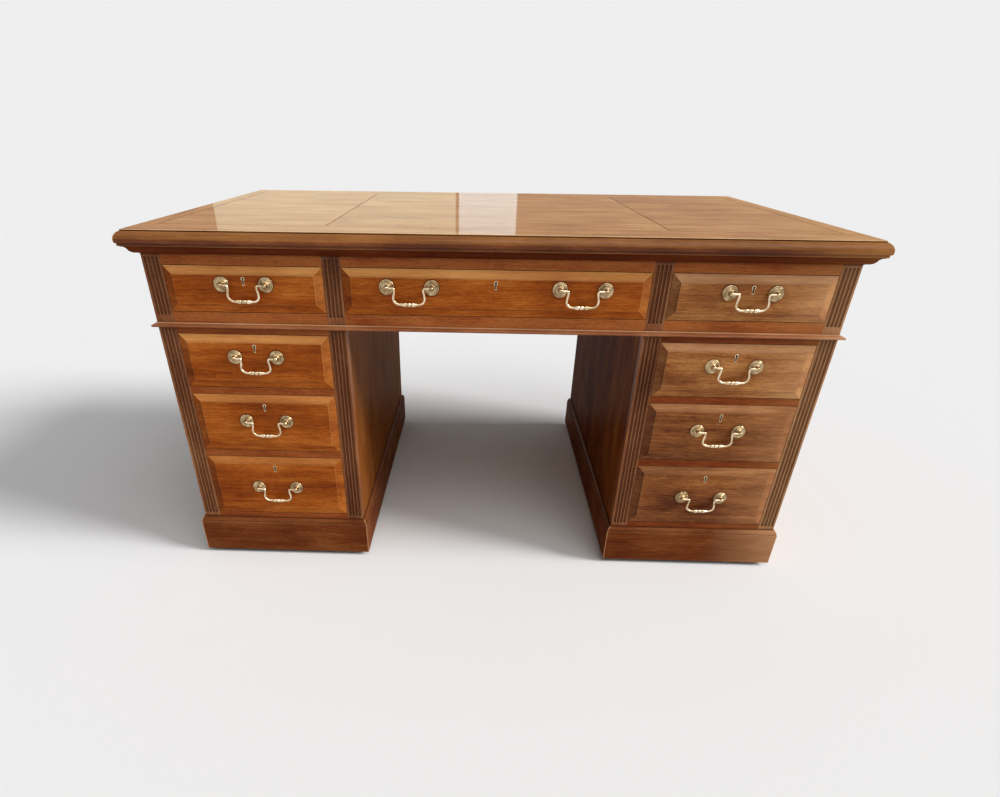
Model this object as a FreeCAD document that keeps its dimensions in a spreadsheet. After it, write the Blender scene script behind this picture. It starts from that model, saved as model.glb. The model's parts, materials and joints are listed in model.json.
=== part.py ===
import FreeCAD, Part

import math
import os
import re

import Sketcher

# A mahogany twin-pedestal writing desk.
# Frame: origin on the floor under the middle of the desk, +X to the sitter's right, the drawers open
# towards -Y, +Z up.  Millimetres.

SIZES = {
    # overall
    "desk_length": 1524,
    "desk_depth": 940,
    "top_overhang": 32,
    # top
    "top_thickness": 30,
    "edge_moulding_width": 12,
    "edge_fillet": 1.6,
    "edge_ovolo": 15.4,
    "edge_nose": 3,
    "edge_lip": 3.5,
    "top_front_rail": 88,
    "top_end_rail": 39,
    "top_joint": 0.5,
    "bed_moulding_height": 17,
    "bed_moulding_reach": 25,
    "bed_moulding_fillet": 1.5,
    "bed_moulding_round": 13,
    # upper case
    "case_board": 20,
    "back_board": 16,
    "frieze_top_rail": 21,
    "frieze_drawer_height": 95,
    "frieze_bottom_rail": 32,
    "rail_depth": 60,
    "waist_bead_reach": 10.5,
    "waist_bead_nose": 8,
    "waist_bead_hollow": 5,
    # pedestals
    "pedestal_width": 411,
    "stile_width": 39,
    "stile_thickness": 20,
    "pedestal_top_board": 14,
    "drawer_rail": 16.5,
    "pedestal_bottom_rail": 15.5,
    "drawer_1_height": 122,
    "drawer_2_height": 143,
    "drawer_3_height": 160,
    "dust_board": 6,
    "bottom_board": 18,
    # plinth
    "castor_lift": 11,
    "plinth_height": 96.5,
    "plinth_reach": 9.5,
    "plinth_moulding": 11,
    "plinth_fillet": 1.5,
    "castor_relief": 5,
    "plinth_ledge": 12,
    # flutes
    "flute_count": 4,
    "flute_pitch": 8,
    "flute_width": 6,
    "flute_depth": 2.2,
    "frieze_flute_margin": 11,
    "pedestal_flute_top_margin": 4,
    "pedestal_flute_bottom_margin": 10.5,
    # drawers
    "drawer_back_room": 80,
    "drawer_gap": 0.9,
    "drawer_play": 0.4,
    "front_thickness": 20,
    "bevel_width": 17,
    "bevel_rise": 4,
    "field_step": 1.6,
    "drawer_side": 10,
    "drawer_back": 10,
    "drawer_bottom": 6,
    "bottom_raise": 8,
    "runner_ledge": 22,
    "runner_height": 12,
    "guide_height": 30,
    "stop_length": 30,
    "stop_height": 4.5,
    # brass
    "handle_centres": 93.5,
    "centre_drawer_handle": 179,
    "frieze_handle_height": 59,
    "drawer_1_handle_height": 73,
    "drawer_2_handle_height": 80,
    "drawer_3_handle_height": 79,
    "rose_diameter": 31.5,
    "rose_thickness": 3.5,
    "post_width": 8.5,
    "bail_stand_off": 12,
    "bail_wire": 5,
    "bail_play": 0.06,
    "bail_neck": 30,
    "bail_swan": 2.5,
    "bail_drop": 32.3,
    "bail_bead": 8,
    "escutcheon_width": 8,
    "escutcheon_height": 17.5,
    "escutcheon_wall": 1.2,
    "escutcheon_drop": 30,
    "escutcheon_thickness": 0.8,
    "key_slot_width": 3,
    "key_slot_height": 12,
    "screw_head": 7,
    "lock_length": 62,
    "lock_height": 36,
    "lock_thickness": 11,
    # castors
    "castor_height": 42,
    "castor_room": 1,
    "castor_block": 60,
    "castor_wheel": 26,
    "castor_wheel_width": 12,
    "castor_trail": 12,
    "castor_stem": 10,
    "castor_play": 0.06,
    "castor_cheek": 2.5,
    "castor_axle": 4,
}

# Small repeated rounds are worked in flats.
ROUND_SIDES = 12
WIDE_ROUND_SIDES = 24
WHEEL_SIDES = 16
BAR_SIDES = 8
PIN_SIDES = 6
FLUTE_STATIONS = (1, 0.78, 0.3, -0.3, -0.78, -1)

doc = FreeCAD.newDocument("pedestal_desk")
names = {}
nodes = []


def spelled(expression):
    """An expression with each size's plain name replaced by its full one."""
    return re.sub(r"[a-z][a-z_0-9]*", lambda word: names.get(word[0], word[0]), str(expression))


def value(expression):
    return float(sheet.evalExpression(spelled(expression)))


def bind(target, sizes):
    for name, expression in sizes.items():
        target.setExpression(name, spelled(expression))


def place(target, x=0, y=0, z=0):
    bind(target, {".Placement.Base.x": x, ".Placement.Base.y": y, ".Placement.Base.z": z})


def write_sheet():
    table = doc.addObject("Spreadsheet::Sheet", "Sizes")
    for row, (alias, size) in enumerate(SIZES.items(), start=1):
        table.set(f"A{row}", alias)
        table.set(f"B{row}", str(size))
        table.setAlias(f"B{row}", alias)
        names[alias] = "Sizes." + alias
    return table


def derive(name, expression):
    """A named place or size that follows from the sheet."""
    setout.addProperty("App::PropertyFloat", name)
    setout.setExpression(name, spelled(expression))
    names[name] = "Setout." + name


# ---------------------------------------------------------------- plain pieces

def board(name, x, y, z):
    """A square-edged board; x, y and z each give its low and high side."""
    piece = doc.addObject("Part::Box", name)
    for size, (low, high) in zip(("Length", "Width", "Height"), (x, y, z)):
        bind(piece, {size: f"({high}) - ({low})"})
    place(piece, x[0], y[0], z[0])
    return piece


def both_sides(name, x, y, z):
    """A board and its twin on the other side of x = 0."""
    low, high = x
    return [board(name + "Right", x, y, z), board(name + "Left", (f"-({high})", f"-({low})"), y, z)]


def turned_copy(source, name, x=0, y=0, z=0, angle=0):
    """The same piece again at another place, turned about the vertical."""
    copy = doc.addObject("Part::Compound", name)
    copy.Links = [source]
    copy.Placement.Rotation = FreeCAD.Rotation(FreeCAD.Vector(0, 0, 1), angle)
    place(copy, x, y, z)
    return copy


def node(label, pieces, x=0, y=0, z=0):
    group = doc.addObject("Part::Compound", label)
    group.Label = label
    group.Links = pieces
    place(group, x, y, z)
    nodes.append(group)
    return group


# ---------------------------------------------------------------- sketches and features

def body_of(name):
    return doc.addObject("PartDesign::Body", name)


def datum(body, role):
    return next(feature for feature in body.Origin.OriginFeatures if feature.Role == role)


def sketch_on(body, name, plane, lift=0, across=0, up=0):
    """A sketch on one of the body's own planes, lifted off it along its normal and moved across or up."""
    sketch = body.newObject("Sketcher::SketchObject", name)
    sketch.AttachmentSupport = (datum(body, plane), [""])
    sketch.MapMode = "FlatFace"
    bind(sketch, {".AttachmentOffset.Base.z": lift, ".AttachmentOffset.Base.x": across,
                  ".AttachmentOffset.Base.y": up})
    return sketch


def arc_between(start, end, radius):
    """The short arc from start to end; its centre is on the left of the way when radius is positive."""
    chord = end - start
    left = FreeCAD.Vector(-chord.y, chord.x, 0).normalize()
    reach = math.sqrt(max(radius * radius - chord.Length ** 2 / 4, 0))
    centre = (start + end) / 2 + left * math.copysign(reach, radius)
    first, last = (start, end) if radius > 0 else (end, start)
    circle = Part.Circle(centre, FreeCAD.Vector(0, 0, 1), abs(radius))
    angles = [math.atan2(point.y - centre.y, point.x - centre.x) for point in (first, last)]
    if angles[1] < angles[0]:
        angles[1] += 2 * math.pi
    return Part.ArcOfCircle(circle, *angles)


def pin_point(sketch, edge, end, across, up, label):
    """Holds one end of an edge at a place given by two expressions."""
    for kind, axis, size, word in (("DistanceX", -2, across, "across"), ("DistanceY", -1, up, "up")):
        if value(size) == 0:
            sketch.addConstraint(Sketcher.Constraint("PointOnObject", edge, end, axis))
        else:
            held = sketch.addConstraint(Sketcher.Constraint(kind, -1, 1, edge, end, value(size)))
            sketch.renameConstraint(held, f"{word}_{label}")
            sketch.setExpression(f"Constraints.{word}_{label}", spelled(size))


def draw_outline(sketch, corners, closed=True, label=""):
    """Edges from corner to corner.  A corner is (across, up) or (across, up, radius): with a radius the
    edge that ends there is an arc, centred on the left of its way when the radius is positive."""
    points = [FreeCAD.Vector(value(corner[0]), value(corner[1]), 0) for corner in corners]
    first = 0 if closed else 1
    edges = []
    for i in range(first, len(corners)):
        radius = value(corners[i][2]) if len(corners[i]) > 2 else 0
        start, end = points[i - 1], points[i]
        shape = arc_between(start, end, radius) if radius else Part.LineSegment(start, end)
        edge = sketch.addGeometry(shape, False)
        edges.append((edge, 2, 1) if radius < 0 else (edge, 1, 2))
        pin_point(sketch, edge, edges[-1][2], corners[i][0], corners[i][1], f"{label}{i}")
        if radius:
            held = sketch.addConstraint(Sketcher.Constraint("Radius", edge, abs(radius)))
            sketch.renameConstraint(held, f"radius_{label}{i}")
            sketch.setExpression(f"Constraints.radius_{label}{i}", spelled(f"abs({corners[i][2]})"))
    for before, after in zip(edges, edges[1:]):
        join = Sketcher.Constraint("Coincident", before[0], before[2], after[0], after[1])
        sketch.addConstraint(join)
    if closed:
        join = Sketcher.Constraint("Coincident", edges[-1][0], edges[-1][2], edges[0][0], edges[0][1])
        sketch.addConstraint(join)
    else:
        pin_point(sketch, edges[0][0], edges[0][1], corners[0][0], corners[0][1], f"{label}0")


def rectangle(sketch, x, y, label=""):
    draw_outline(sketch, [(x[0], y[0]), (x[1], y[0]), (x[1], y[1]), (x[0], y[1])], label=label)


def facets(sketch, size, sides=ROUND_SIDES):
    """A many-sided round about the sketch's origin, size across its flats."""
    reach = 0.5 / math.cos(math.pi / sides)
    turns = [2 * math.pi * (side + 0.5) / sides for side in range(sides)]
    draw_outline(sketch, [(f"({size}) * {reach * math.cos(turn):.6f}",
                           f"({size}) * {reach * math.sin(turn):.6f}") for turn in turns])


def pad(body, sketch, length, symmetric=False, backwards=False):
    feature = body.newObject("PartDesign::Pad", sketch.Name + "Pad")
    feature.Profile = sketch
    feature.SideType = "Symmetric" if symmetric else "One side"
    feature.Reversed = backwards
    bind(feature, {"Length": length})
    return feature


def pocket_both_ways(body, sketch, length):
    feature = body.newObject("PartDesign::Pocket", sketch.Name + "Pocket")
    feature.Profile = sketch
    feature.SideType = "Symmetric"
    bind(feature, {"Length": length})
    return feature


# ---------------------------------------------------------------- mouldings

def mitred_strip(name, profile, length, reach, inward):
    """A length of moulding centred on x = 0, mitred at both ends.  profile holds (forward, up) corners, and
    the line forward = 0, which is length long, lies on y = 0.  It reaches inward behind that line."""
    body = body_of(name)
    section = sketch_on(body, name + "Section", "YZ_Plane")
    draw_outline(section, [(f"-({corner[0]})", corner[1], *[f"-({radius})" for radius in corner[2:]])
                           for corner in profile])
    pad(body, section, f"({length}) + 2 * ({reach})", symmetric=True)
    mitres = sketch_on(body, name + "Mitres", "XY_Plane")
    half = f"({length}) / 2"
    for label, way in (("right", ""), ("left", "-")):
        inner = f"{way}({half} - {inward})"
        outer = f"{way}({half} + {reach} + 1)"
        draw_outline(mitres, [(inner, inward), (outer, inward), (outer, f"-({reach} + 1)")], label=label)
    pocket_both_ways(body, mitres, "4 * desk_height")
    return body


def mitred_ring(name, profile, length, depth, reach, inward=0):
    """Four mitred strips round a rectangle length by depth."""
    long_strip = mitred_strip(name + "Long", profile, length, reach, inward)
    short_strip = mitred_strip(name + "Short", profile, depth, reach, inward)
    return [
        turned_copy(long_strip, name + "Front", y=f"-({depth}) / 2"),
        turned_copy(long_strip, name + "Back", y=f"({depth}) / 2", angle=180),
        turned_copy(short_strip, name + "RightEnd", x=f"({length}) / 2", angle=90),
        turned_copy(short_strip, name + "LeftEnd", x=f"-({length}) / 2", angle=-90),
    ]


def top_edge_moulding():
    """Fillet, bold ovolo and a nose that turns under to a small step above the soffit."""
    width = "edge_moulding_width"
    across = f"({width} - edge_fillet)"
    nose_top = "desk_height - edge_fillet - edge_ovolo"
    profile = [
        (0, "soffit"),
        (f"{width} - edge_lip", "soffit"),
        (f"{width} - edge_lip", f"{nose_top} - edge_nose - edge_lip"),
        (width, f"{nose_top} - edge_nose", "edge_lip"),
        (width, nose_top),
        ("edge_fillet", "desk_height - edge_fillet", f"(edge_ovolo ^ 2 + {across} ^ 2) / (2 * {across})"),
        (0, "desk_height - edge_fillet"),
    ]
    node("top_edge_moulding", mitred_ring("EdgeMoulding", profile, "board_length", "board_depth", width))


def bed_moulding():
    """An ogee under the top, between two small fillets: round below and hollow above."""
    waist = ("0.65 * bed_moulding_reach", "frieze_top + 0.56 * bed_moulding_height")
    profile = [
        (0, "frieze_top"),
        ("bed_moulding_fillet", "frieze_top"),
        ("bed_moulding_fillet", "frieze_top + bed_moulding_fillet"),
        (*waist, "bed_moulding_round"),
        ("bed_moulding_reach", "soffit - bed_moulding_fillet", "-0.8 * bed_moulding_round"),
        ("bed_moulding_reach", "soffit"),
        (0, "soffit"),
    ]
    ring = mitred_ring("BedMoulding", profile, "case_length", "case_depth", "bed_moulding_reach")
    node("bed_moulding", ring)


def waist_bead():
    """A half-round nose with a small hollow above it, round the foot of the upper case."""
    nose_back = "waist_bead_reach - waist_bead_nose / 2"
    profile = [
        (0, "frieze_bottom"),
        (nose_back, "frieze_bottom"),
        (nose_back, "frieze_bottom + waist_bead_nose", "waist_bead_nose / 2 + 0.001"),
        ("waist_bead_reach - waist_bead_nose / 2 - 0.5", "frieze_bottom + waist_bead_nose"),
        (0, "frieze_bottom + waist_bead_nose + waist_bead_hollow", "-1.05 * waist_bead_hollow"),
    ]
    ring = mitred_ring("WaistBead", profile, "case_length", "case_depth", "waist_bead_reach")
    node("waist_bead", ring)


def plinth(label, x):
    """A frame whose moulded top edge laps the case and whose ledge carries it, thinned behind its foot
    where the castors swing."""
    shoulder = "plinth_top - plinth_moulding"
    profile = [
        ("castor_relief", "castor_lift"),
        ("plinth_reach", "castor_lift"),
        ("plinth_reach", shoulder),
        ("plinth_reach - plinth_fillet", shoulder),
        ("plinth_fillet", "plinth_top", "plinth_moulding"),
        (0, "plinth_top"),
        (0, "case_foot"),
        ("-plinth_ledge", "case_foot"),
        ("-plinth_ledge", "castor_height"),
        ("castor_relief", "castor_height"),
    ]
    ring = mitred_ring(label + "Strip", profile, "pedestal_width", "case_depth", "plinth_reach",
                       "plinth_ledge")
    node(label, ring, x=x)


# ---------------------------------------------------------------- top

def top_frame():
    rail_back = "board_depth / 2 - top_front_rail"
    pieces = [
        board("TopFrontRail", ("-board_length / 2", "board_length / 2"),
              ("-board_depth / 2", f"-({rail_back})"), ("soffit", "desk_height")),
        board("TopBackRail", ("-board_length / 2", "board_length / 2"),
              (rail_back, "board_depth / 2"), ("soffit", "desk_height")),
    ]
    pieces += both_sides("TopEndRail", ("board_length / 2 - top_end_rail", "board_length / 2"),
                         (f"-({rail_back})", rail_back), ("soffit", "desk_height"))
    node("top_frame", pieces)


def top_panels():
    """Three panels let in between the rails, with joints over the inner pilasters."""
    edge = "board_length / 2 - top_end_rail - top_joint"
    joint = "kneehole_half + stile_width"
    depth = "board_depth / 2 - top_front_rail - top_joint"
    rows = (f"-({depth})", depth)
    height = ("soffit", "desk_height")
    half_joint = "top_joint / 2"
    centre = board("CentrePanel", (f"-({joint} - {half_joint})", f"{joint} - {half_joint}"), rows, height)
    node("top_panels", [centre] + both_sides("EndPanel", (f"{joint} + {half_joint}", edge), rows, height))


# ---------------------------------------------------------------- upper case

def frieze_case():
    height = ("frieze_bottom", "soffit")
    pieces = both_sides("FriezeEnd", ("case_length / 2 - case_board", "case_length / 2"),
                        ("stile_back", "case_depth / 2"), height)
    pieces.append(board("FriezeBack", ("-(case_length / 2 - case_board)", "case_length / 2 - case_board"),
                        ("case_depth / 2 - back_board", "case_depth / 2"), height))
    node("frieze_case", pieces)


def side_board(name, way, x, y, z):
    """A board on the right of x = 0 where way is empty, or on the left where it is a minus sign."""
    low, high = x
    return board(name, (f"-({high})", f"-({low})") if way else x, y, z)


def bearers(name, opening, walls, floor, ceiling=None):
    """What carries a drawer down both sides of its opening, centred on x = 0.  Each side has a runner whose
    top is level with the rail and a guide that stands on it, from the edge of the opening to the wall.
    A kicker above keeps the open drawer level where no rail's runner does it."""
    run = ("rail_back", "inside_back")
    edge = f"({opening}) / 2"
    ledge = f"{edge} - runner_ledge"
    pieces = []
    for side, way, wall in (("Right", "", walls[0]), ("Left", "-", walls[1])):
        pieces.append(side_board(name + "Runner" + side, way, (ledge, wall), run,
                                 (f"{floor} - runner_height", floor)))
        pieces.append(side_board(name + "Guide" + side, way, (edge, wall), run,
                                 (floor, f"{floor} + guide_height")))
        if ceiling:
            pieces.append(side_board(name + "Kicker" + side, way, (ledge, wall), run,
                                     (ceiling, f"{ceiling} + runner_height")))
    return pieces


def stops(name, opening, floor):
    """Two small blocks on a rail that the back of the closed front meets."""
    middle = f"({opening}) / 4"
    return both_sides(name + "Stop", (f"{middle} - stop_length / 2", f"{middle} + stop_length / 2"),
                      ("stop_front", "rail_back"), (floor, f"{floor} + stop_height"))


def frieze_bay(name, opening, walls, x):
    """Front rails, bearers and stops of one frieze drawer."""
    edge = f"({opening}) / 2"
    rows = ("case_front", "rail_back")
    low = ("frieze_bottom", "frieze_floor")
    high = ("frieze_ceiling", "soffit")
    pieces = [board(name + "LowRail", (f"-{edge}", edge), rows, low),
              board(name + "HighRail", (f"-{edge}", edge), rows, high)]
    pieces += bearers(name, opening, walls, "frieze_floor", "frieze_ceiling")
    pieces += stops(name, opening, "frieze_floor")
    return [turned_copy(piece, piece.Name + "Set", x=x) for piece in pieces]


def frieze_rails():
    half = "partition / 2"
    pieces = both_sides("Partition", (f"partition_centre - {half}", f"partition_centre + {half}"),
                        ("stile_back", "inside_back"), ("frieze_bottom", "soffit"))
    middle = f"partition_centre - {half}"
    pieces += frieze_bay("CentreBay", "centre_opening", (middle, middle), 0)
    near = f"pedestal_centre - partition_centre - {half}"
    far = "case_wall"
    pieces += frieze_bay("RightBay", "end_opening", (far, near), "pedestal_centre")
    pieces += frieze_bay("LeftBay", "end_opening", (near, far), "-pedestal_centre")
    node("frieze_rails", pieces)


# ---------------------------------------------------------------- fluted pilasters

def pilaster(name, low, high, flute_low, flute_high):
    """A stile whose face is worked with stopped flutes, each a round-bottomed groove in flats."""
    body = body_of(name)
    blank = sketch_on(body, name + "Blank", "XZ_Plane")
    rectangle(blank, ("-stile_width / 2", "stile_width / 2"), (low, high))
    pad(body, blank, "stile_thickness", backwards=True)
    span = "(flute_count - 1) * flute_pitch"
    flute = sketch_on(body, name + "Flute", "XY_Plane", lift=flute_low, across=f"-{span} / 2")
    edge = "flute_width / 2"
    bottom = [(f"{edge} * {share}",
               f"sqrt(flute_radius ^ 2 - ({edge} * {share}) ^ 2) - flute_radius + flute_depth")
              for share in FLUTE_STATIONS]
    draw_outline(flute, [(f"-{edge}", "-flute_depth"), (edge, "-flute_depth")] + bottom)
    groove = body.newObject("PartDesign::Pocket", name + "Groove")
    groove.Profile = flute
    groove.Reversed = True
    bind(groove, {"Length": f"({flute_high}) - ({flute_low})"})
    row = body.newObject("PartDesign::LinearPattern", name + "Flutes")
    row.Originals = [groove]
    row.Direction = (flute, ["H_Axis"])
    bind(row, {"Length": span, "Occurrences": "flute_count"})
    body.Tip = row
    return body


def pilasters():
    frieze = pilaster("FriezePilaster", "frieze_bottom", "soffit",
                      "frieze_bottom + waist_bead_nose + waist_bead_hollow + frieze_flute_margin",
                      "frieze_top - frieze_flute_margin / 2")
    places = {"OuterRight": "corner_stile", "InnerRight": "partition_centre",
              "InnerLeft": "-partition_centre", "OuterLeft": "-corner_stile"}
    node("frieze_pilasters", [turned_copy(frieze, "Frieze" + name, x=x, y="case_front")
                              for name, x in places.items()])
    tall = pilaster("PedestalPilaster", "case_foot", "frieze_bottom",
                    "plinth_top + pedestal_flute_bottom_margin",
                    "frieze_bottom - pedestal_flute_top_margin")
    node("pedestal_pilasters", [turned_copy(tall, "Pedestal" + name, x=x, y="case_front")
                                for name, x in places.items()])


# ---------------------------------------------------------------- pedestals

def pedestal_case(label, x):
    outer = "pedestal_width / 2"
    inner = f"{outer} - case_board"
    across = (f"-({inner})", inner)
    pieces = both_sides(label + "Side", (inner, outer), ("stile_back", "case_depth / 2"),
                        ("case_foot", "frieze_bottom"))
    pieces.append(board(label + "Back", across, ("inside_back", "case_depth / 2"),
                        ("case_foot", "frieze_bottom")))
    pieces.append(board(label + "Top", across, ("rail_back", "inside_back"),
                        ("floor_1 + drawer_1_height", "frieze_bottom")))
    pieces.append(board(label + "Bottom", across, ("stile_back", "inside_back"),
                        ("case_foot", "plinth_top")))
    node(label, pieces, x=x)


def castor_block(name, way_x, way_y):
    """A block in a corner of the plinth, under the case, bored for the castor's stem."""
    block = body_of(name)
    outer = (f"{way_x}(pedestal_width / 2 - plinth_ledge)", f"{way_y}(case_depth / 2 - plinth_ledge)")
    inner = (f"{outer[0]} - {way_x}castor_block", f"{outer[1]} - {way_y}castor_block")
    blank = sketch_on(block, name + "Blank", "XY_Plane", lift="castor_height")
    draw_outline(blank, [inner, (outer[0], inner[1]), outer, (inner[0], outer[1])])
    pad(block, blank, "case_foot - castor_height")
    bore = sketch_on(block, name + "Bore", "XY_Plane", across=f"{way_x}castor_column",
                     up=f"{way_y}castor_row")
    facets(bore, "stem_bore")
    pocket_both_ways(block, bore, "4 * case_foot")
    return block


def pedestal_rails(label, x):
    """Front rails, bearers, dust boards and stops of three drawers, and the castor blocks."""
    edge = "end_opening / 2"
    rows = ("case_front", "rail_back")
    walls = ("case_wall", "case_wall")
    pieces = [board(label + "TopRail", (f"-{edge}", edge), rows,
                    ("floor_1 + drawer_1_height", "frieze_bottom"))]
    for number, rail in ((1, "drawer_rail"), (2, "drawer_rail"), (3, "pedestal_bottom_rail")):
        floor = f"floor_{number}"
        name = f"{label}Drawer{number}"
        pieces.append(board(name + "Rail", (f"-{edge}", edge), rows, (f"{floor} - {rail}", floor)))
        pieces += bearers(name, "end_opening", walls, floor)
        pieces += stops(name, "end_opening", floor)
        if number < 3:
            ledge = f"({edge} - runner_ledge)"
            low = f"{floor} - runner_height / 2 - dust_board / 2"
            pieces.append(board(name + "Dust", (f"-{ledge}", ledge), ("rail_back", "inside_back"),
                                (low, f"{low} + dust_board")))
    for row, way_y in (("Front", "-"), ("Back", "")):
        for side, way_x in (("Right", ""), ("Left", "-")):
            pieces.append(castor_block(f"{label}Block{row}{side}", way_x, way_y))
    node(label, pieces, x=x)


# ---------------------------------------------------------------- drawers

def keyhole(sketch, width, height, middle, label):
    """A keyhole outline: a round head worked in flats over a tapered skirt, its middle at middle."""
    head = f"({width}) / 2"
    foot = f"({width}) * 0.3"
    low = f"({middle}) - ({height}) / 2"
    centre = f"({middle}) + ({height}) / 2 - {head}"
    turns = [math.radians(degrees) for degrees in range(-60, 241, 60)]
    round_head = [(f"{head} * {math.cos(turn):.6f}", f"{centre} + {head} * {math.sin(turn):.6f}")
                  for turn in turns]
    draw_outline(sketch, round_head + [(f"-{foot}", low), (foot, low)], label=label)


def drawer_front(name, width, height):
    """A front with a raised field: bevels on all four sides climb to a small step round the field."""
    body = body_of(name)
    half = f"({width}) / 2 - drawer_gap"
    low, high = "drawer_gap", f"({height}) - drawer_gap"
    slab = sketch_on(body, name + "Slab", "XZ_Plane")
    rectangle(slab, (f"-({half})", half), (low, high))
    pad(body, slab, "front_thickness", backwards=True)
    field = ((f"-({half} - bevel_width)", f"{half} - bevel_width"),
             (f"{low} + bevel_width", f"{high} - bevel_width"))
    bevels = body.newObject("PartDesign::AdditiveWedge", name + "Bevels")
    bevels.AttachmentSupport = (datum(body, "XZ_Plane"), [""])
    bevels.MapMode = "FlatFace"
    bevels.AttachmentOffset.Rotation = FreeCAD.Rotation(FreeCAD.Vector(1, 0, 0), 90)
    bind(bevels, {
        "Xmin": f"-({half})", "Xmax": half, "X2min": field[0][0], "X2max": field[0][1],
        "Ymin": 0, "Ymax": "bevel_rise",
        "Zmin": f"-({high})", "Zmax": f"-({low})", "Z2min": f"-({field[1][1]})", "Z2max": f"-({field[1][0]})",
    })
    raised = sketch_on(body, name + "Field", "XZ_Plane", lift="bevel_rise")
    rectangle(raised, *field)
    pad(body, raised, "field_step")
    slot = sketch_on(body, name + "KeySlot", "XZ_Plane")
    middle = f"({height}) - escutcheon_drop"
    rectangle(slot, ("-key_slot_width / 2", "key_slot_width / 2"),
              (f"{middle} - key_slot_height / 2", f"{middle} + key_slot_height / 2"))
    pocket_both_ways(body, slot, "4 * front_thickness")
    return body


def drawer_box(name, width, height):
    """Sides, back and bottom.  The sides run on the bearers, a little lower than the front's edge."""
    outer = f"({width}) / 2 - drawer_gap"
    inner = f"{outer} - drawer_side"
    low, high = "drawer_play", f"({height}) - drawer_gap - drawer_play"
    box_low = f"{low} + bottom_raise"
    back = ("drawer_length - drawer_back", "drawer_length")
    pieces = both_sides(name + "Side", (inner, outer), ("front_thickness", "drawer_length"), (low, high))
    pieces.append(board(name + "Back", (f"-({inner})", inner), back, (f"{box_low} + drawer_bottom", high)))
    pieces.append(board(name + "Bottom", (f"-({inner})", inner), ("front_thickness", "drawer_length"),
                        (box_low, f"{box_low} + drawer_bottom")))
    return pieces


def rose(name):
    """A turned rose whose post ends in a squared eye, drilled across for the pin of the bail."""
    body = body_of(name)
    disc = sketch_on(body, name + "Disc", "XZ_Plane")
    facets(disc, "rose_diameter", WIDE_ROUND_SIDES)
    pad(body, disc, "rose_thickness")
    post = sketch_on(body, name + "Post", "XZ_Plane")
    side = "post_width / 2"
    rectangle(post, (f"-{side}", side), (f"-{side}", side))
    pad(body, post, "bail_stand_off + post_width * 0.6")
    drill = sketch_on(body, name + "Drill", "YZ_Plane", across="-bail_stand_off")
    facets(drill, "bail_bore")
    pocket_both_ways(body, drill, "rose_diameter")
    return body


def escutcheon(name, middle):
    body = body_of(name)
    plate = sketch_on(body, name + "Rim", "XZ_Plane")
    keyhole(plate, "escutcheon_width", "escutcheon_height", middle, "rim")
    hollow = ("escutcheon_width - 2 * escutcheon_wall", "escutcheon_height - 2 * escutcheon_wall")
    keyhole(plate, *hollow, middle, "hollow")
    pad(body, plate, "escutcheon_thickness")
    return body


def drawer_brass(name, width, height, handle_height, handles):
    """Roses on the field, the thread round the keyhole, the lock behind it and the bottom's screw heads."""
    face = "-(bevel_rise + field_step)"
    middle = f"({height}) - escutcheon_drop"
    pieces = []
    for number, centre in enumerate(handles):
        for side, way in (("Right", "+"), ("Left", "-")):
            post = rose(f"{name}Rose{number}{side}")
            place(post, f"{centre} {way} handle_centres / 2", face, handle_height)
            pieces.append(post)
    thread = escutcheon(name + "Thread", middle)
    place(thread, y=face)
    lock = board(name + "Lock", ("-lock_length / 2", "lock_length / 2"),
                 ("front_thickness", "front_thickness + lock_thickness"),
                 (f"{middle} - lock_height / 2", f"{middle} + lock_height / 2"))
    screws = both_sides(name + "Screw", (f"({width}) / 4", f"({width}) / 4 + screw_head"),
                        ("drawer_length - drawer_back / 2 - screw_head / 2",
                         "drawer_length - drawer_back / 2 + screw_head / 2"),
                        ("drawer_play + bottom_raise - 1.5", "drawer_play + bottom_raise"))
    return pieces + [thread, lock] + screws


def faceted_bar(stations):
    """A many-sided bar along a bent line in the XZ plane, mitred at each bend.  A station is
    (across, up, thickness)."""
    centres = [FreeCAD.Vector(across, 0, up) for across, up, size in stations]
    runs = [(after - before).normalize() for before, after in zip(centres, centres[1:])]
    depth = FreeCAD.Vector(0, 1, 0)
    rings = []
    for i, (centre, station) in enumerate(zip(centres, stations)):
        before, after = runs[max(i - 1, 0)], runs[min(i, len(runs) - 1)]
        along = (before + after).normalize()
        stretch = 1 / along.dot(after)
        radius = station[2] / 2 / math.cos(math.pi / BAR_SIDES)
        ring = []
        for corner in range(BAR_SIDES):
            angle = (corner + 0.5) * 2 * math.pi / BAR_SIDES
            side = along.cross(depth) * (radius * math.cos(angle) * stretch)
            ring.append(centre + side + depth * (radius * math.sin(angle)))
        rings.append(ring)
    faces = [Part.Face(Part.makePolygon(ring + ring[:1])) for ring in (rings[0], rings[-1])]
    for near, far in zip(rings, rings[1:]):
        for i in range(BAR_SIDES):
            corners = [near[i - 1], near[i], far[i], far[i - 1]]
            faces.append(Part.Face(Part.makePolygon(corners + corners[:1])))
    solid = Part.Solid(Part.Shell(faces))
    if solid.Volume < 0:
        solid.reverse()
    return solid


def bail():
    """A swan-neck bail: two pins, necks that swing out and in again, and a swelling grip with a bead."""
    wire, neck, drop = value("bail_wire"), value("bail_neck"), value("bail_drop")
    swan, bead = value("bail_swan"), value("bail_bead")
    grip = 0.3 * neck
    half = [
        (value("handle_centres + post_width") / 2, 0, wire),
        (neck + 0.8 * wire, 0, wire),
        (neck, -0.8 * wire, wire),
        (neck + swan, -0.6 * drop, wire),
        (neck + 0.3 * swan, -0.85 * drop, wire),
        (neck - 1.4 * wire, -drop, wire),
        (1.9 * grip, -drop, wire),
        (grip, -drop, 1.4 * wire),
        (bead / 2, -drop, 1.1 * wire),
        (0, -drop, bead),
    ]
    mirrored = [(-across, up, size) for across, up, size in reversed(half[:-1])]
    piece = doc.addObject("Part::Feature", "Bail")
    piece.Shape = faceted_bar(half + mirrored)
    return piece


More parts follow.
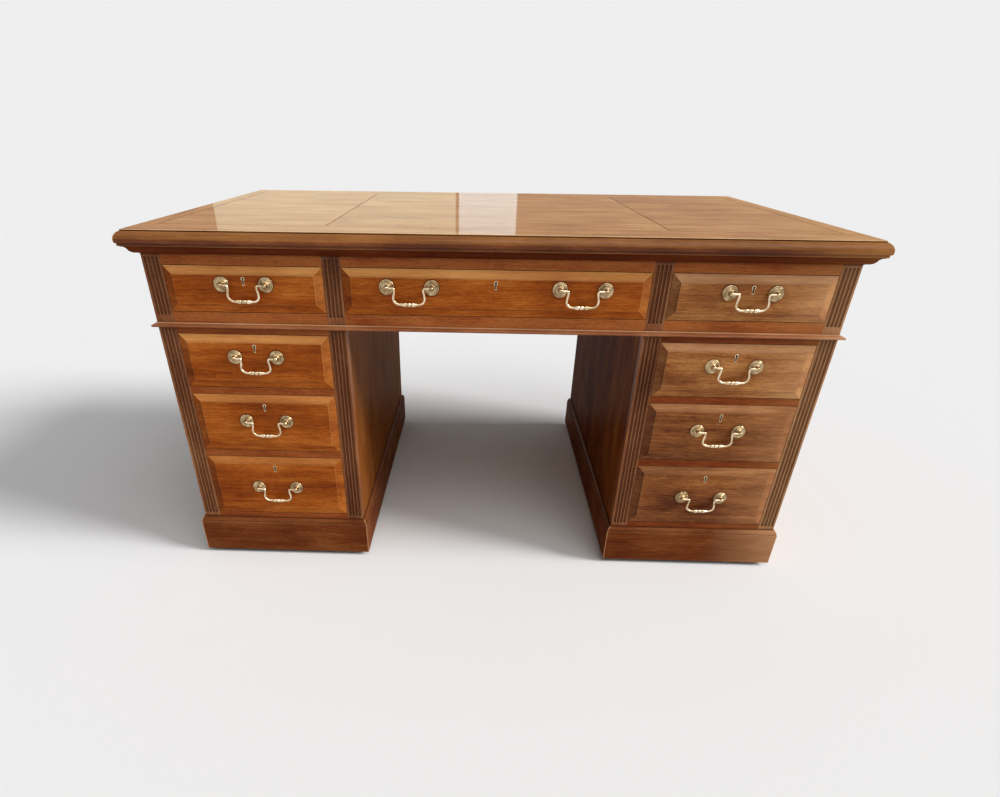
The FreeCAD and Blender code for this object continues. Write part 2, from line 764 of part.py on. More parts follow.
# ---------------------------------------------------------------- castors

def castor():
    """A stem castor whose plain wheel trails towards -y on a pin through its two cheeks."""
    horn = body_of("CastorHorn")
    axle = "castor_wheel / 2"
    crown = "castor_height - 0.4"
    stem = sketch_on(horn, "CastorStem", "XY_Plane", lift=f"{crown} - 4")
    facets(stem, "castor_stem")
    pad(horn, stem, f"case_foot - 1 - ({crown} - 4)")
    cheeks = sketch_on(horn, "CastorCheeks", "YZ_Plane")
    draw_outline(cheeks, [
        (f"-castor_trail - {axle} * 0.35", f"{axle} - 4"),
        (f"-castor_trail + {axle} * 0.35", f"{axle} - 4"),
        ("castor_stem * 0.9", crown),
        ("-castor_stem * 1.1", crown),
    ])
    pad(horn, cheeks, "castor_wheel_width + 2 * castor_cheek", symmetric=True)
    fork = sketch_on(horn, "CastorFork", "YZ_Plane")
    rectangle(fork, ("-castor_trail - castor_wheel", "2 * castor_stem"), (0, "castor_wheel + 2"))
    pocket_both_ways(horn, fork, "castor_wheel_width + 0.6")
    bore = sketch_on(horn, "CastorBore", "YZ_Plane", across="-castor_trail", up=axle)
    facets(bore, "castor_axle", PIN_SIDES)
    pocket_both_ways(horn, bore, "4 * castor_wheel")
    wheel = body_of("CastorWheel")
    tread = sketch_on(wheel, "CastorTread", "YZ_Plane", across="-castor_trail", up=axle)
    facets(tread, "castor_wheel", WHEEL_SIDES)
    pad(wheel, tread, "castor_wheel_width", symmetric=True)
    hub = sketch_on(wheel, "CastorHub", "YZ_Plane", across="-castor_trail", up=axle)
    facets(hub, "castor_axle", PIN_SIDES)
    pocket_both_ways(wheel, hub, "4 * castor_wheel")
    pin = body_of("CastorPin")
    rod = sketch_on(pin, "CastorRod", "YZ_Plane", across="-castor_trail", up=axle)
    facets(rod, "castor_axle", PIN_SIDES)
    pad(pin, rod, "castor_wheel_width + 2 * castor_cheek + 1", symmetric=True)
    return [horn, wheel, pin]


# ---------------------------------------------------------------- the desk

sheet = write_sheet()
doc.recompute()
setout = doc.addObject("App::VarSet", "Setout")
for name, expression in {
    # heights
    "plinth_top": "castor_lift + plinth_height",
    "case_foot": "plinth_top - bottom_board",
    "floor_3": "castor_lift + plinth_height + pedestal_bottom_rail",
    "floor_2": "floor_3 + drawer_3_height + drawer_rail",
    "floor_1": "floor_2 + drawer_2_height + drawer_rail",
    "frieze_bottom": "floor_1 + drawer_1_height + pedestal_top_board",
    "frieze_floor": "frieze_bottom + frieze_bottom_rail",
    "frieze_ceiling": "frieze_floor + frieze_drawer_height",
    "frieze_top": "frieze_ceiling + frieze_top_rail",
    "soffit": "frieze_top + bed_moulding_height",
    "desk_height": "soffit + top_thickness",
    # plan
    "board_length": "desk_length - 2 * edge_moulding_width",
    "board_depth": "desk_depth - 2 * edge_moulding_width",
    "case_length": "desk_length - 2 * top_overhang",
    "case_depth": "desk_depth - 2 * top_overhang",
    "case_front": "-case_depth / 2",
    "stile_back": "case_front + stile_thickness",
    "rail_back": "case_front + rail_depth",
    "inside_back": "case_depth / 2 - back_board",
    "stop_front": "case_front + front_thickness + drawer_play",
    "kneehole_half": "case_length / 2 - pedestal_width",
    "pedestal_centre": "kneehole_half + pedestal_width / 2",
    "partition_centre": "kneehole_half + stile_width / 2",
    "corner_stile": "case_length / 2 - stile_width / 2",
    "centre_opening": "2 * kneehole_half",
    "end_opening": "pedestal_width - 2 * stile_width",
    "case_wall": "pedestal_width / 2 - case_board",
    "partition": "case_board",
    "drawer_length": "case_depth - back_board - drawer_back_room",
    "castor_inset": "castor_trail + castor_wheel / 2 + castor_room - castor_relief",
    "castor_column": "pedestal_width / 2 - castor_inset",
    "castor_row": "case_depth / 2 - castor_inset",
    "stem_bore": f"castor_stem / {math.cos(math.pi / ROUND_SIDES):.5f} + 2 * castor_play",
    # handles
    "bail_plane": "case_front - bevel_rise - field_step - bail_stand_off",
    "bail_bore": f"bail_wire / {math.cos(math.pi / BAR_SIDES):.5f} + 2 * bail_play",
    # flutes
    "flute_radius": "(flute_width * flute_width / 4 + flute_depth * flute_depth) / (2 * flute_depth)",
}.items():
    derive(name, expression)
doc.recompute()

top_edge_moulding()
top_frame()
top_panels()
bed_moulding()
frieze_case()
frieze_rails()
pilasters()
waist_bead()
for side, way in (("left", "-"), ("right", "")):
    centre = way + "pedestal_centre"
    pedestal_case(side + "_pedestal_case", centre)
    pedestal_rails(side + "_pedestal_rails", centre)
    plinth(side + "_plinth", centre)

single, pair = ["0"], ["-centre_drawer_handle", "centre_drawer_handle"]
DRAWERS = [
    # kind, opening, height, height of the handle's posts, handles, level, drawers of the kind and their x
    ("Frieze", "end_opening", "frieze_drawer_height", "frieze_handle_height", single, "frieze_floor",
     {"left_frieze_drawer": "-pedestal_centre", "right_frieze_drawer": "pedestal_centre"}),
    ("Centre", "centre_opening", "frieze_drawer_height", "frieze_handle_height", pair, "frieze_floor",
     {"centre_frieze_drawer": "0"}),
    ("Top", "end_opening", "drawer_1_height", "drawer_1_handle_height", single, "floor_1",
     {"left_top_drawer": "-pedestal_centre", "right_top_drawer": "pedestal_centre"}),
    ("Middle", "end_opening", "drawer_2_height", "drawer_2_handle_height", single, "floor_2",
     {"left_middle_drawer": "-pedestal_centre", "right_middle_drawer": "pedestal_centre"}),
    ("Bottom", "end_opening", "drawer_3_height", "drawer_3_handle_height", single, "floor_3",
     {"left_bottom_drawer": "-pedestal_centre", "right_bottom_drawer": "pedestal_centre"}),
]
loose_bail = bail()
for kind, width, height, handle_height, handles, floor, places in DRAWERS:
    front = drawer_front(kind + "Front", width, height)
    box = drawer_box(kind + "Box", width, height)
    brass = drawer_brass(kind, width, height, handle_height, handles)
    for name, x in places.items():
        node(name + "_front", [front], x, "case_front", floor)
        node(name + "_box", box, x, "case_front", floor)
        node(name + "_brass", brass, x, "case_front", floor)
        for number, handle in enumerate(handles, start=1):
            label = name.replace("drawer", "bail") if len(handles) == 1 else f"centre_bail_{number}"
            node(label, [loose_bail], f"{x} + {handle}", "bail_plane", f"{floor} + {handle_height}")

loose_castor = castor()
for side, way in (("left", "-"), ("right", "")):
    for row, along in (("front", "-castor_row"), ("back", "castor_row")):
        for edge, across in (("inner", "-"), ("outer", "+")):
            outward = across if way == "" else {"-": "+", "+": "-"}[across]
            node(f"{side}_{row}_{edge}_castor", loose_castor,
                 f"{way}pedestal_centre {outward} castor_column", along)

doc.recompute()
for item in doc.Objects:
    if "Invalid" in item.State or "Error" in item.State:
        raise RuntimeError(f"{item.Name} failed: {item.State}")
os.makedirs("parts", exist_ok=True)
for part in nodes:
    if part.Shape.isNull() or not part.Shape.isValid():
        raise RuntimeError(f"{part.Label} has no sound shape")
for part in nodes:
    part.Shape.exportStep(f"parts/{part.Label}.step")
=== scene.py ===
import json
import math
import random

import bmesh
import bpy
from mathutils import Matrix, Vector
from mathutils.geometry import interpolate_bezier

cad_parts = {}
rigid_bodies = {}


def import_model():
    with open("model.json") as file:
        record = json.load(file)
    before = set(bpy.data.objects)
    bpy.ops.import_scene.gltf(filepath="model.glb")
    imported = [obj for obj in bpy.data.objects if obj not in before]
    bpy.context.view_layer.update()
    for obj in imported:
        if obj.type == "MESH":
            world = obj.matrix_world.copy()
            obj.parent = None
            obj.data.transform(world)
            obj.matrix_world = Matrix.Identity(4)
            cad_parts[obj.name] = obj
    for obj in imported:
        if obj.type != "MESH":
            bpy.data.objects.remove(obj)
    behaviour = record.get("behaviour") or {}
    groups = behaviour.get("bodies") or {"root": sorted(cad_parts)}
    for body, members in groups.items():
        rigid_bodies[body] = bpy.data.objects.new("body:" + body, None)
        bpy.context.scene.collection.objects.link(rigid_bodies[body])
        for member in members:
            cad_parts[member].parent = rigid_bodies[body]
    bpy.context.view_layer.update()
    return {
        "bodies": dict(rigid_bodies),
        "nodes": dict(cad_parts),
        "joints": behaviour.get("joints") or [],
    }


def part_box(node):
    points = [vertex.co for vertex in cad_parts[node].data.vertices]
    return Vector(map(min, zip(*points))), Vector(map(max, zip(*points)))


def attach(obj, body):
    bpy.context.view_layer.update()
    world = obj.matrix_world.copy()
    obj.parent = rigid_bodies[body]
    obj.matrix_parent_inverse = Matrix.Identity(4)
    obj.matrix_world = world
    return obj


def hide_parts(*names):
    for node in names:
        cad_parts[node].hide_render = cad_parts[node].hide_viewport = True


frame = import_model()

# A mahogany twin-pedestal writing desk: French-polished case, oak drawer linings, cast brass handles.
# Metres, +X to the sitter's right, the drawers open towards -Y, +Z up.

MM = 0.001
JOINT_OF = {joint["child"]: joint for joint in frame["joints"]}
DRAWERS = [body for body in frame["bodies"] if body.endswith("_drawer")]
BAILS = [body for body in frame["bodies"] if "_bail" in body]
CASTORS = [body for body in frame["bodies"] if body.endswith("_castor")]


# ---------------------------------------------------------------- colour and shader nodes

def linear(colour):
    """An sRGB hex colour as linear red, green, blue and alpha."""
    channels = [int(colour[i:i + 2], 16) / 255 for i in (1, 3, 5)]
    return [c / 12.92 if c <= 0.04045 else ((c + 0.055) / 1.055) ** 2.4 for c in channels] + [1]


def add(tree, kind, inputs=None, ramp=(), **settings):
    """Adds a shader node with its settings and links.  An input takes a number, a vector, a hex colour,
    another node's output, or a node, which then gives its first output in use."""
    node = tree.nodes.new("ShaderNode" + kind)
    for name, setting in settings.items():
        setattr(node, name, setting)
    for name, source in (inputs or {}).items():
        if isinstance(source, bpy.types.Node):
            source = next(output for output in source.outputs if output.enabled)
        if isinstance(source, bpy.types.NodeSocket):
            tree.links.new(source, node.inputs[name])
        else:
            node.inputs[name].default_value = linear(source) if isinstance(source, str) else source
    for number, (position, colour) in enumerate(ramp):
        elements = node.color_ramp.elements
        element = elements[number] if number < 2 else elements.new(position)
        element.position = position
        element.color = linear(colour)
    return node


def grain_marks(tree, grain, along, across, detail=2, waver=0.0):
    """Marks drawn out along the grain; along and across are their sizes in millimetres."""
    counts = Vector((1 / along, 1 / across, 1 / across)) / MM
    place = add(tree, "VectorMath", {0: grain, 1: counts}, operation="MULTIPLY")
    return add(tree, "TexNoise", {"Vector": place, "Scale": 1, "Detail": detail, "Distortion": waver})


def new_material(name):
    """A material with an empty node tree, and the tree."""
    material = bpy.data.materials.new(name)
    material.use_nodes = True
    material.node_tree.nodes.clear()
    return material, material.node_tree


# ---------------------------------------------------------------- finishes

PORE = "#401405"
# Painted shade for faces turned away from the lamps.
UNLIT_WOOD = "#3C1406"
# Painted shade and brown wax, laid in the hollows.
WAX_AND_SHADE_BROWN = "#260A03"


def french_polished_mahogany(name, timber, pale_for_light_and_wear, painted_light_share, film, film_roughness, wax=(0.45, 0.95),
                             turned_from_light=0.0):
    """Mahogany, planed, filled and French polished with shellac.  The eye sees ribbon stripe and short
    dark pores under a thin clear film.  Light is painted into it as a paler colour where a face tilts
    up or to the right, towards the lamps, less near the floor and most at the right end, and shade is
    painted as a darker brown on faces turned to the left.  Its hollows are darkened, by brown wax and
    by painted shade, and its arrises are paler, from wear and as a painted highlight.

    timber and pale_for_light_and_wear are its colours from dark to light, painted_light_share is how
    much of the paler colour is painted in as light, film is the weight of the shellac,
    turned_from_light is how much painted shade a face turned left takes, and wax is how open a hollow
    is where its darkening is deepest and where it ends."""
    material, tree = new_material(name)
    grain = add(tree, "Attribute", attribute_name="grain").outputs["Vector"]
    shade = add(tree, "Attribute", attribute_name="tone").outputs["Fac"]
    streaks = grain_marks(tree, grain, 70, 3.2, 3)
    ribbon_stripe = grain_marks(tree, grain, 300, 24, 3, 0.9)
    clouding = grain_marks(tree, grain, 150, 70)
    flecks = grain_marks(tree, grain, 20, 1.8, 2)
    marks = ((ribbon_stripe, 0.42), (clouding, 0.50), (streaks, 0.28), (flecks, 0.34))
    for pattern, share in marks:
        shade = add(tree, "Math", {0: pattern, 1: share, 2: shade}, operation="MULTIPLY_ADD")
    middle, swing = sum(share for _, share in marks) / 2, 0.22
    shade = add(tree, "MapRange", {"Value": shade, "From Min": middle - swing,
                                   "From Max": middle + swing})
    wood = add(tree, "ValToRGB", {"Fac": shade}, ramp=list(zip((0, 0.5, 1), timber)))
    pale = add(tree, "ValToRGB", {"Fac": shade}, ramp=list(zip((0.1, 0.9), pale_for_light_and_wear)))
    # The pores are 0.2 mm wide in the real timber and are drawn 0.7 mm wide so that they show.
    pores = grain_marks(tree, grain, 9, 0.7, 2)
    open_pores = add(tree, "MapRange", {"Value": pores, "From Min": 0.5, "From Max": 0.75,
                                        "To Max": 0.6})
    wood = add(tree, "Mix", {0: open_pores, 6: wood, 7: PORE}, data_type="RGBA")

    # Painted light: a paler colour by the way a face looks, up or to the right towards the lamps, and
    # by its place on the desk, in metres: less near the floor, most at the right end.
    normal = add(tree, "NewGeometry").outputs["Normal"]
    place = add(tree, "SeparateXYZ", {0: add(tree, "TexCoord").outputs["Object"]})
    tilt = add(tree, "VectorMath", {0: normal, 1: (0.3, 0, 0.95)},
               operation="DOT_PRODUCT").outputs["Value"]
    height = add(tree, "MapRange", {"Value": place.outputs["Z"], "From Min": 0.2, "From Max": 0.7,
                                    "To Min": 0.3 * painted_light_share, "To Max": 1.1 * painted_light_share})
    right_end = add(tree, "MapRange", {"Value": place.outputs["X"], "From Min": 0.56, "From Max": 0.76,
                                       "To Max": 0.65})
    painted_light = add(tree, "MapRange", {"Value": tilt, "From Min": 0.03, "From Max": 0.19,
                                      "To Max": height})
    painted_light = add(tree, "Math", {0: painted_light, 1: right_end}, operation="MAXIMUM")
    wood = add(tree, "Mix", {0: painted_light, 6: wood, 7: pale}, data_type="RGBA")
    # Painted shade: faces turned to the left, away from the lamps, take the darker unlit brown.
    across = add(tree, "SeparateXYZ", {0: normal}).outputs["X"]
    unlit = add(tree, "MapRange", {"Value": across, "From Min": -0.22, "From Max": -0.03,
                                   "To Min": turned_from_light, "To Max": 0})
    wood = add(tree, "Mix", {0: unlit, 6: wood, 7: UNLIT_WOOD}, data_type="RGBA")

    # Paler arrises, from wear and as a painted highlight, and darker hollows, from wax and painted
    # shade.
    corners = add(tree, "AmbientOcclusion", {"Distance": 1.6 * MM}, samples=4, inside=True,
                  only_local=True).outputs["AO"]
    worn = add(tree, "MapRange", {"Value": corners, "From Min": 0.45, "From Max": 0.85, "To Min": 0.75,
                                  "To Max": 0})
    wood = add(tree, "Mix", {0: worn, 6: wood, 7: pale}, data_type="RGBA")
    # Painted shade and brown wax: the hollows that the occlusion finds closed in are darkened.
    hollows = add(tree, "AmbientOcclusion", {"Distance": 7 * MM}, samples=6).outputs["AO"]
    waxed = add(tree, "MapRange", {"Value": hollows, "From Min": wax[0], "From Max": wax[1],
                                   "To Min": 0.85, "To Max": 0})
    wood = add(tree, "Mix", {0: waxed, 6: wood, 7: WAX_AND_SHADE_BROWN}, data_type="RGBA")

    # The fibres show faintly through the shellac, which has a slow ripple of its own.
    fibres = add(tree, "Bump", {"Height": streaks, "Strength": 0.10, "Distance": 0.3 * MM})
    ripple = grain_marks(tree, grain, 120, 45, 1)
    rippled = add(tree, "Bump", {"Height": ripple, "Strength": 0.10, "Distance": 1 * MM})
    dulled = add(tree, "MapRange", {"Value": streaks, "From Min": 0.3, "From Max": 0.7, "To Min": 0.38,
                                    "To Max": 0.52})
    shader = add(tree, "BsdfPrincipled", {
        "Base Color": wood, "Roughness": dulled, "IOR": 1.5, "Specular IOR Level": 0.0,
        "Coat Weight": film, "Coat Roughness": film_roughness, "Coat IOR": 1.5, "Normal": fibres,
        "Coat Normal": rippled,
    })
    add(tree, "OutputMaterial", {"Surface": shader})
    return material


def waxed_oak():
    """Quarter-sawn oak drawer linings, scraped and waxed: pale brown with long streaks, silvery rays
    and no gloss, browner deep in the corners."""
    material, tree = new_material("waxed_oak")
    grain = add(tree, "Attribute", attribute_name="grain").outputs["Vector"]
    tone = add(tree, "Attribute", attribute_name="tone").outputs["Fac"]
    streaks = grain_marks(tree, grain, 130, 2.4, 4, 0.4)
    shade = add(tree, "Math", {0: streaks, 1: tone}, operation="ADD")
    shade = add(tree, "MapRange", {"Value": shade, "From Min": 0.28, "From Max": 0.74})
    timber = [(0, "#8A6238"), (0.5, "#AC8250"), (1, "#C49C68")]
    wood = add(tree, "ValToRGB", {"Fac": shade}, ramp=timber)
    rays = add(tree, "MapRange", {"Value": grain_marks(tree, grain, 24, 5, 2, 1.5), "From Min": 0.62,
                                  "From Max": 0.7, "To Max": 0.35})
    wood = add(tree, "Mix", {0: rays, 6: wood, 7: "#D0AE7E"}, data_type="RGBA")
    # Browner deep in the corners, where the occlusion finds them closed in.
    hollows = add(tree, "AmbientOcclusion", {"Distance": 12 * MM}, samples=4).outputs["AO"]
    browner_in_corners = add(tree, "MapRange", {"Value": hollows, "From Min": 0.3, "From Max": 0.95, "To Min": 0.6,
                                   "To Max": 0})
    wood = add(tree, "Mix", {0: browner_in_corners, 6: wood, 7: "#4A3018"}, data_type="RGBA")
    fibres = add(tree, "Bump", {"Height": streaks, "Strength": 0.2, "Distance": 0.3 * MM})
    dulled = add(tree, "MapRange", {"Value": streaks, "From Min": 0.3, "From Max": 0.7, "To Min": 0.6,
                                    "To Max": 0.75})
    shader = add(tree, "BsdfPrincipled", {"Base Color": wood, "Roughness": dulled, "IOR": 1.5,
                                          "Specular IOR Level": 0.25, "Normal": fibres})
    add(tree, "OutputMaterial", {"Surface": shader})
    return material


def sawn_deal():
    """Red deal inside the case, sawn and left bare: dull brown growth rings with a furry fibre,
    greyed by dust."""
    material, tree = new_material("sawn_deal")
    grain = add(tree, "Attribute", attribute_name="grain").outputs["Vector"]
    tone = add(tree, "Attribute", attribute_name="tone").outputs["Fac"]
    rings = grain_marks(tree, grain, 420, 7, 3, 0.8)
    fibre = grain_marks(tree, grain, 40, 1.2, 3)
    shade = add(tree, "Math", {0: rings, 1: tone}, operation="ADD")
    shade = add(tree, "MapRange", {"Value": shade, "From Min": 0.3, "From Max": 0.75})
    timber = [(0, "#5E4024"), (0.5, "#7E5A38"), (1, "#9C774C")]
    wood = add(tree, "ValToRGB", {"Fac": shade}, ramp=timber)
    fuzz = add(tree, "Bump", {"Height": fibre, "Strength": 0.4, "Distance": 0.4 * MM})
    dulled = add(tree, "MapRange", {"Value": fibre, "From Min": 0.3, "From Max": 0.7, "To Min": 0.75,
                                    "To Max": 0.9})
    shader = add(tree, "BsdfPrincipled", {"Base Color": wood, "Roughness": dulled, "IOR": 1.5,
                                          "Specular IOR Level": 0.1, "Normal": fuzz})
    add(tree, "OutputMaterial", {"Surface": shader})
    return material


def cast_brass(name, bright, dull, groove, shine):
    """Brass cast in sand, filed and burnished, then aged: smooth and pale where fingers rub it, with
    soft cloudy tarnish and brown left in its grooves.  shine is the roughness where it is brightest."""
    material, tree = new_material(name)
    place = add(tree, "TexCoord").outputs["Object"]
    tarnish = add(tree, "TexNoise", {"Vector": place, "Scale": 1 / (14 * MM), "Detail": 3})
    cloud = add(tree, "MapRange", {"Value": tarnish, "From Min": 0.35, "From Max": 0.65})
    metal = add(tree, "ValToRGB", {"Fac": cloud}, ramp=[(0, dull), (1, bright)])
    grooves = add(tree, "AmbientOcclusion", {"Distance": 3 * MM}, samples=8, only_local=True)
    brown = add(tree, "MapRange", {"Value": grooves.outputs["AO"], "From Min": 0.45, "From Max": 1,
                                   "To Min": 0.95, "To Max": 0})
    metal = add(tree, "Mix", {0: brown, 6: metal, 7: groove}, data_type="RGBA")
    files = add(tree, "TexNoise", {"Vector": place, "Scale": 1 / (2.5 * MM), "Detail": 1})
    filed = add(tree, "Bump", {"Height": files, "Strength": 0.05, "Distance": 0.2 * MM})
    dulled = add(tree, "MapRange", {"Value": tarnish, "From Min": 0.35, "From Max": 0.65,
                                    "To Min": shine + 0.08, "To Max": shine})
    shader = add(tree, "BsdfPrincipled", {"Base Color": metal, "Metallic": 1.0, "Roughness": dulled,
                                          "Normal": filed})
    add(tree, "OutputMaterial", {"Surface": shader})
    return material


# ---------------------------------------------------------------- mesh work

GRAIN_AXES = {"x": (0, 1, 2), "y": (1, 0, 2), "z": (2, 0, 1)}
EASE = 0.5 * MM


def dice(*words):
    """A random source that always gives the same draws for the same words."""
    return random.Random("/".join(str(word) for word in words))


def solids_of(node):
    """The node's separate solids, each a list of triangles.  Its mesh stores them one after another, so
    a solid is whole as soon as none of its edges is open."""
    mesh = frame["nodes"][node].data
    places = [tuple(round(c, 6) for c in vertex.co) for vertex in mesh.vertices]
    open_edges, solid, solids = set(), [], []
    for face in mesh.polygons:
        corners = [places[i] for i in face.vertices]
        solid.append(corners)
        for start, end in zip(corners, corners[1:] + corners[:1]):
            open_edges ^= {frozenset((start, end))}
        if not open_edges:
            solids.append(solid)
            solid = []
    return solids


def extent(triangles):
    """The lowest and highest corners of a solid."""
    corners = [corner for triangle in triangles for corner in triangle]
    low = Vector([min(corner[i] for corner in corners) for i in range(3)])
    high = Vector([max(corner[i] for corner in corners) for i in range(3)])
    return low, high


def longest(triangles):
    """The axis that a solid is longest along, which its grain follows."""
    low, high = extent(triangles)
    size = high - low
    return "xyz"[max(range(3), key=lambda i: size[i])]


def ease_arrises(bm, width, steepest=math.radians(30)):
    """Rounds over the sharp edges by a hair, as sanding does."""
    bm.normal_update()
    sharp = [edge for edge in bm.edges
             if len(edge.link_faces) == 2 and edge.calc_face_angle(0) > steepest]
    bmesh.ops.bevel(bm, geom=sharp, offset=width, segments=2, profile=0.5, affect="EDGES",
                    clamp_overlap=True)


def board(triangles, ease=EASE):
    """A board from its triangles, flat faces made whole and its arrises eased."""
    bm = bmesh.new()
    made = {}
    for corners in triangles:
        for corner in corners:
            if corner not in made:
                made[corner] = bm.verts.new(corner)
    for corners in triangles:
        if len(set(corners)) == 3:
            bm.faces.new([made[corner] for corner in corners])
    bmesh.ops.dissolve_limit(bm, angle_limit=math.radians(1), verts=bm.verts, edges=bm.edges)
    ease_arrises(bm, ease)
    return bm


def box_solid(low, high):
    """A squared blank between two corners."""
    bm = bmesh.new()
    bmesh.ops.create_cube(bm, size=1)
    for vertex in bm.verts:
        vertex.co = [low[i] + (vertex.co[i] + 0.5) * (high[i] - low[i]) for i in range(3)]
    return bm


def skinned(rings, ring_shaped=False):
    """A solid skinned over rings of points, capped at both ends or closed into a ring itself."""
    bm = bmesh.new()
    rings = [[bm.verts.new(point) for point in ring] for ring in rings]
    following = rings[1:] + rings[:1] if ring_shaped else rings[1:]
    for near, far in zip(rings, following):
        for i in range(len(near)):
            bm.faces.new([near[i - 1], near[i], far[i], far[i - 1]])
    if not ring_shaped:
        bm.faces.new(rings[0])
        bm.faces.new(rings[-1])
    bmesh.ops.recalc_face_normals(bm, faces=bm.faces)
    return bm


def prism(outline, near, far):
    """An upright (across, up) outline pushed from y = near to y = far."""
    return skinned([[(x, y, z) for x, z in outline] for y in (near, far)])


def turned(profile, sides):
    """A solid turned about the up axis from (radius, height) points."""
    turns = [2 * math.pi * i / sides for i in range(sides)]
    return skinned([[(radius * math.cos(turn), radius * math.sin(turn), height) for turn in turns]
                    for radius, height in profile])


def moved(bm, x, y, z):
    """The solid shifted by x, y and z."""
    bmesh.ops.translate(bm, vec=(x, y, z), verts=bm.verts)
    return bm


def laid_over(bm, axis):
    """The solid turned a quarter about an axis."""
    bmesh.ops.rotate(bm, matrix=Matrix.Rotation(math.pi / 2, 3, axis), verts=bm.verts)
    return bm


def arc(centre, radius, start, end, steps=8):
    """Points of an arc; angles in degrees, counted from the first axis towards the second."""
    turns = [math.radians(start + (end - start) * step / steps) for step in range(steps + 1)]
    return [(centre[0] + radius * math.cos(turn), centre[1] + radius * math.sin(turn))
            for turn in turns]


def sweep_between(start, end, radius, steps=8):
    """Points of an arc from start to end.  A positive radius bulges to the right of the way there."""
    start, end = Vector(start), Vector(end)
    chord = end - start
    right = Vector((chord.y, -chord.x)).normalized() * (1 if radius > 0 else -1)
    centre = (start + end) / 2 - right * math.sqrt(radius ** 2 - chord.length_squared / 4)
    turns = [math.atan2(point.y - centre.y, point.x - centre.x) for point in (start, end)]
    turn = (turns[1] - turns[0] + math.pi) % (2 * math.pi) - math.pi
    return arc(centre, abs(radius), math.degrees(turns[0]), math.degrees(turns[0] + turn), steps)


def cut_away(solid, cutters):
    """The solid with the cutters' shapes taken out of it; all the bmeshes are used up."""
    tools = bmesh.new()
    for cutter in cutters:
        mesh = bpy.data.meshes.new("cutter")
        cutter.to_mesh(mesh)
        cutter.free()
        tools.from_mesh(mesh)
        bpy.data.meshes.remove(mesh)
    objects = []
    for name, bm in (("blank", solid), ("tools", tools)):
        mesh = bpy.data.meshes.new(name)
        bm.to_mesh(mesh)
        bm.free()
        objects.append(bpy.data.objects.new(name, mesh))
        bpy.context.scene.collection.objects.link(objects[-1])
    blank, tool = objects
    cut = blank.modifiers.new("cut", "BOOLEAN")
    cut.object = tool
    cut.operation = "DIFFERENCE"
    cut.solver = "EXACT"
    evaluated = blank.evaluated_get(bpy.context.evaluated_depsgraph_get())
    result = bmesh.new()
    result.from_mesh(evaluated.to_mesh())
    evaluated.to_mesh_clear()
    for thing in objects:
        mesh = thing.data
        bpy.data.objects.remove(thing)
        bpy.data.meshes.remove(mesh)
    return result


class Joiner:
    """Gathers worked solids into one piece.  Each keeps its own grain direction, its own place in the
    timber it was cut from, and its own tone."""

    def __init__(self, name):
        self.name = name
        self.bm = bmesh.new()
        self.grain = self.bm.verts.layers.float_vector.new("grain")
        self.tone = self.bm.verts.layers.float.new("tone")
        self.materials = []

    def slot_of(self, material):
        if material not in self.materials:
            self.materials.append(material)
        return self.materials.index(material)

    def lay(self, solid, axis, material, spread=0.05, tone=None, cut_from=None):
        """Adds a solid (a bmesh, used up) with its grain along x, y or z.  Solids with the same
        cut_from word come out of one board."""
        mesh = bpy.data.meshes.new("laid")
        solid.to_mesh(mesh)
        solid.free()
        first_vertex, first_face = len(self.bm.verts), len(self.bm.faces)
        self.bm.from_mesh(mesh)
        bpy.data.meshes.remove(mesh)
        draw = dice(self.name, cut_from or first_vertex)
        offset = Vector([draw.uniform(0, 9) for _ in range(3)])
        drawn_tone = draw.uniform(-spread, spread)
        order = GRAIN_AXES[axis]
        self.bm.verts.ensure_lookup_table()
        self.bm.faces.ensure_lookup_table()
        for vertex in self.bm.verts[first_vertex:]:
            vertex[self.grain] = Vector([vertex.co[i] for i in order]) + offset
            vertex[self.tone] = drawn_tone if tone is None else tone
        for face in self.bm.faces[first_face:]:
            face.material_index = self.slot_of(material)
            face.smooth = True
        return self.bm.faces[first_face:]

    def make(self, body, replaces, sharp=35):
        """Makes the piece, riding on its body; edges sharper than so many degrees stay crisp."""
        mesh = bpy.data.meshes.new(self.name)
        self.bm.to_mesh(mesh)
        self.bm.free()
        mesh.set_sharp_from_angle(angle=math.radians(sharp))
        piece = bpy.data.objects.new(self.name, mesh)
        bpy.context.scene.collection.objects.link(piece)
        for material in self.materials:
            mesh.materials.append(material)
        even = piece.modifiers.new("even_faces", "WEIGHTED_NORMAL")
        even.keep_sharp = True
        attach(piece, body)
        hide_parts(replaces)


def mitred_frame(joiner, profile, low, high, material):
    """Four mitred lengths of moulding round a rectangle on the floor plan; profile holds (out, up)
    points."""
    corners = [(low.x, low.y, -1, -1), (high.x, low.y, 1, -1), (high.x, high.y, 1, 1),
               (low.x, high.y, -1, 1)]
    for i in range(4):
        rings = [[(x + way_x * out, y + way_y * out, up) for out, up in profile]
                 for x, y, way_x, way_y in (corners[i], corners[(i + 1) % 4])]
        joiner.lay(skinned(rings), "xy"[i % 2], material)


# ---------------------------------------------------------------- sizes taken from the frame

board_low, board_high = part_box("top_frame")
case_low, case_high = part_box("frieze_case")
case_low.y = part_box("frieze_pilasters")[0].y
CASE_FRONT = case_low.y


# ---------------------------------------------------------------- the polished case

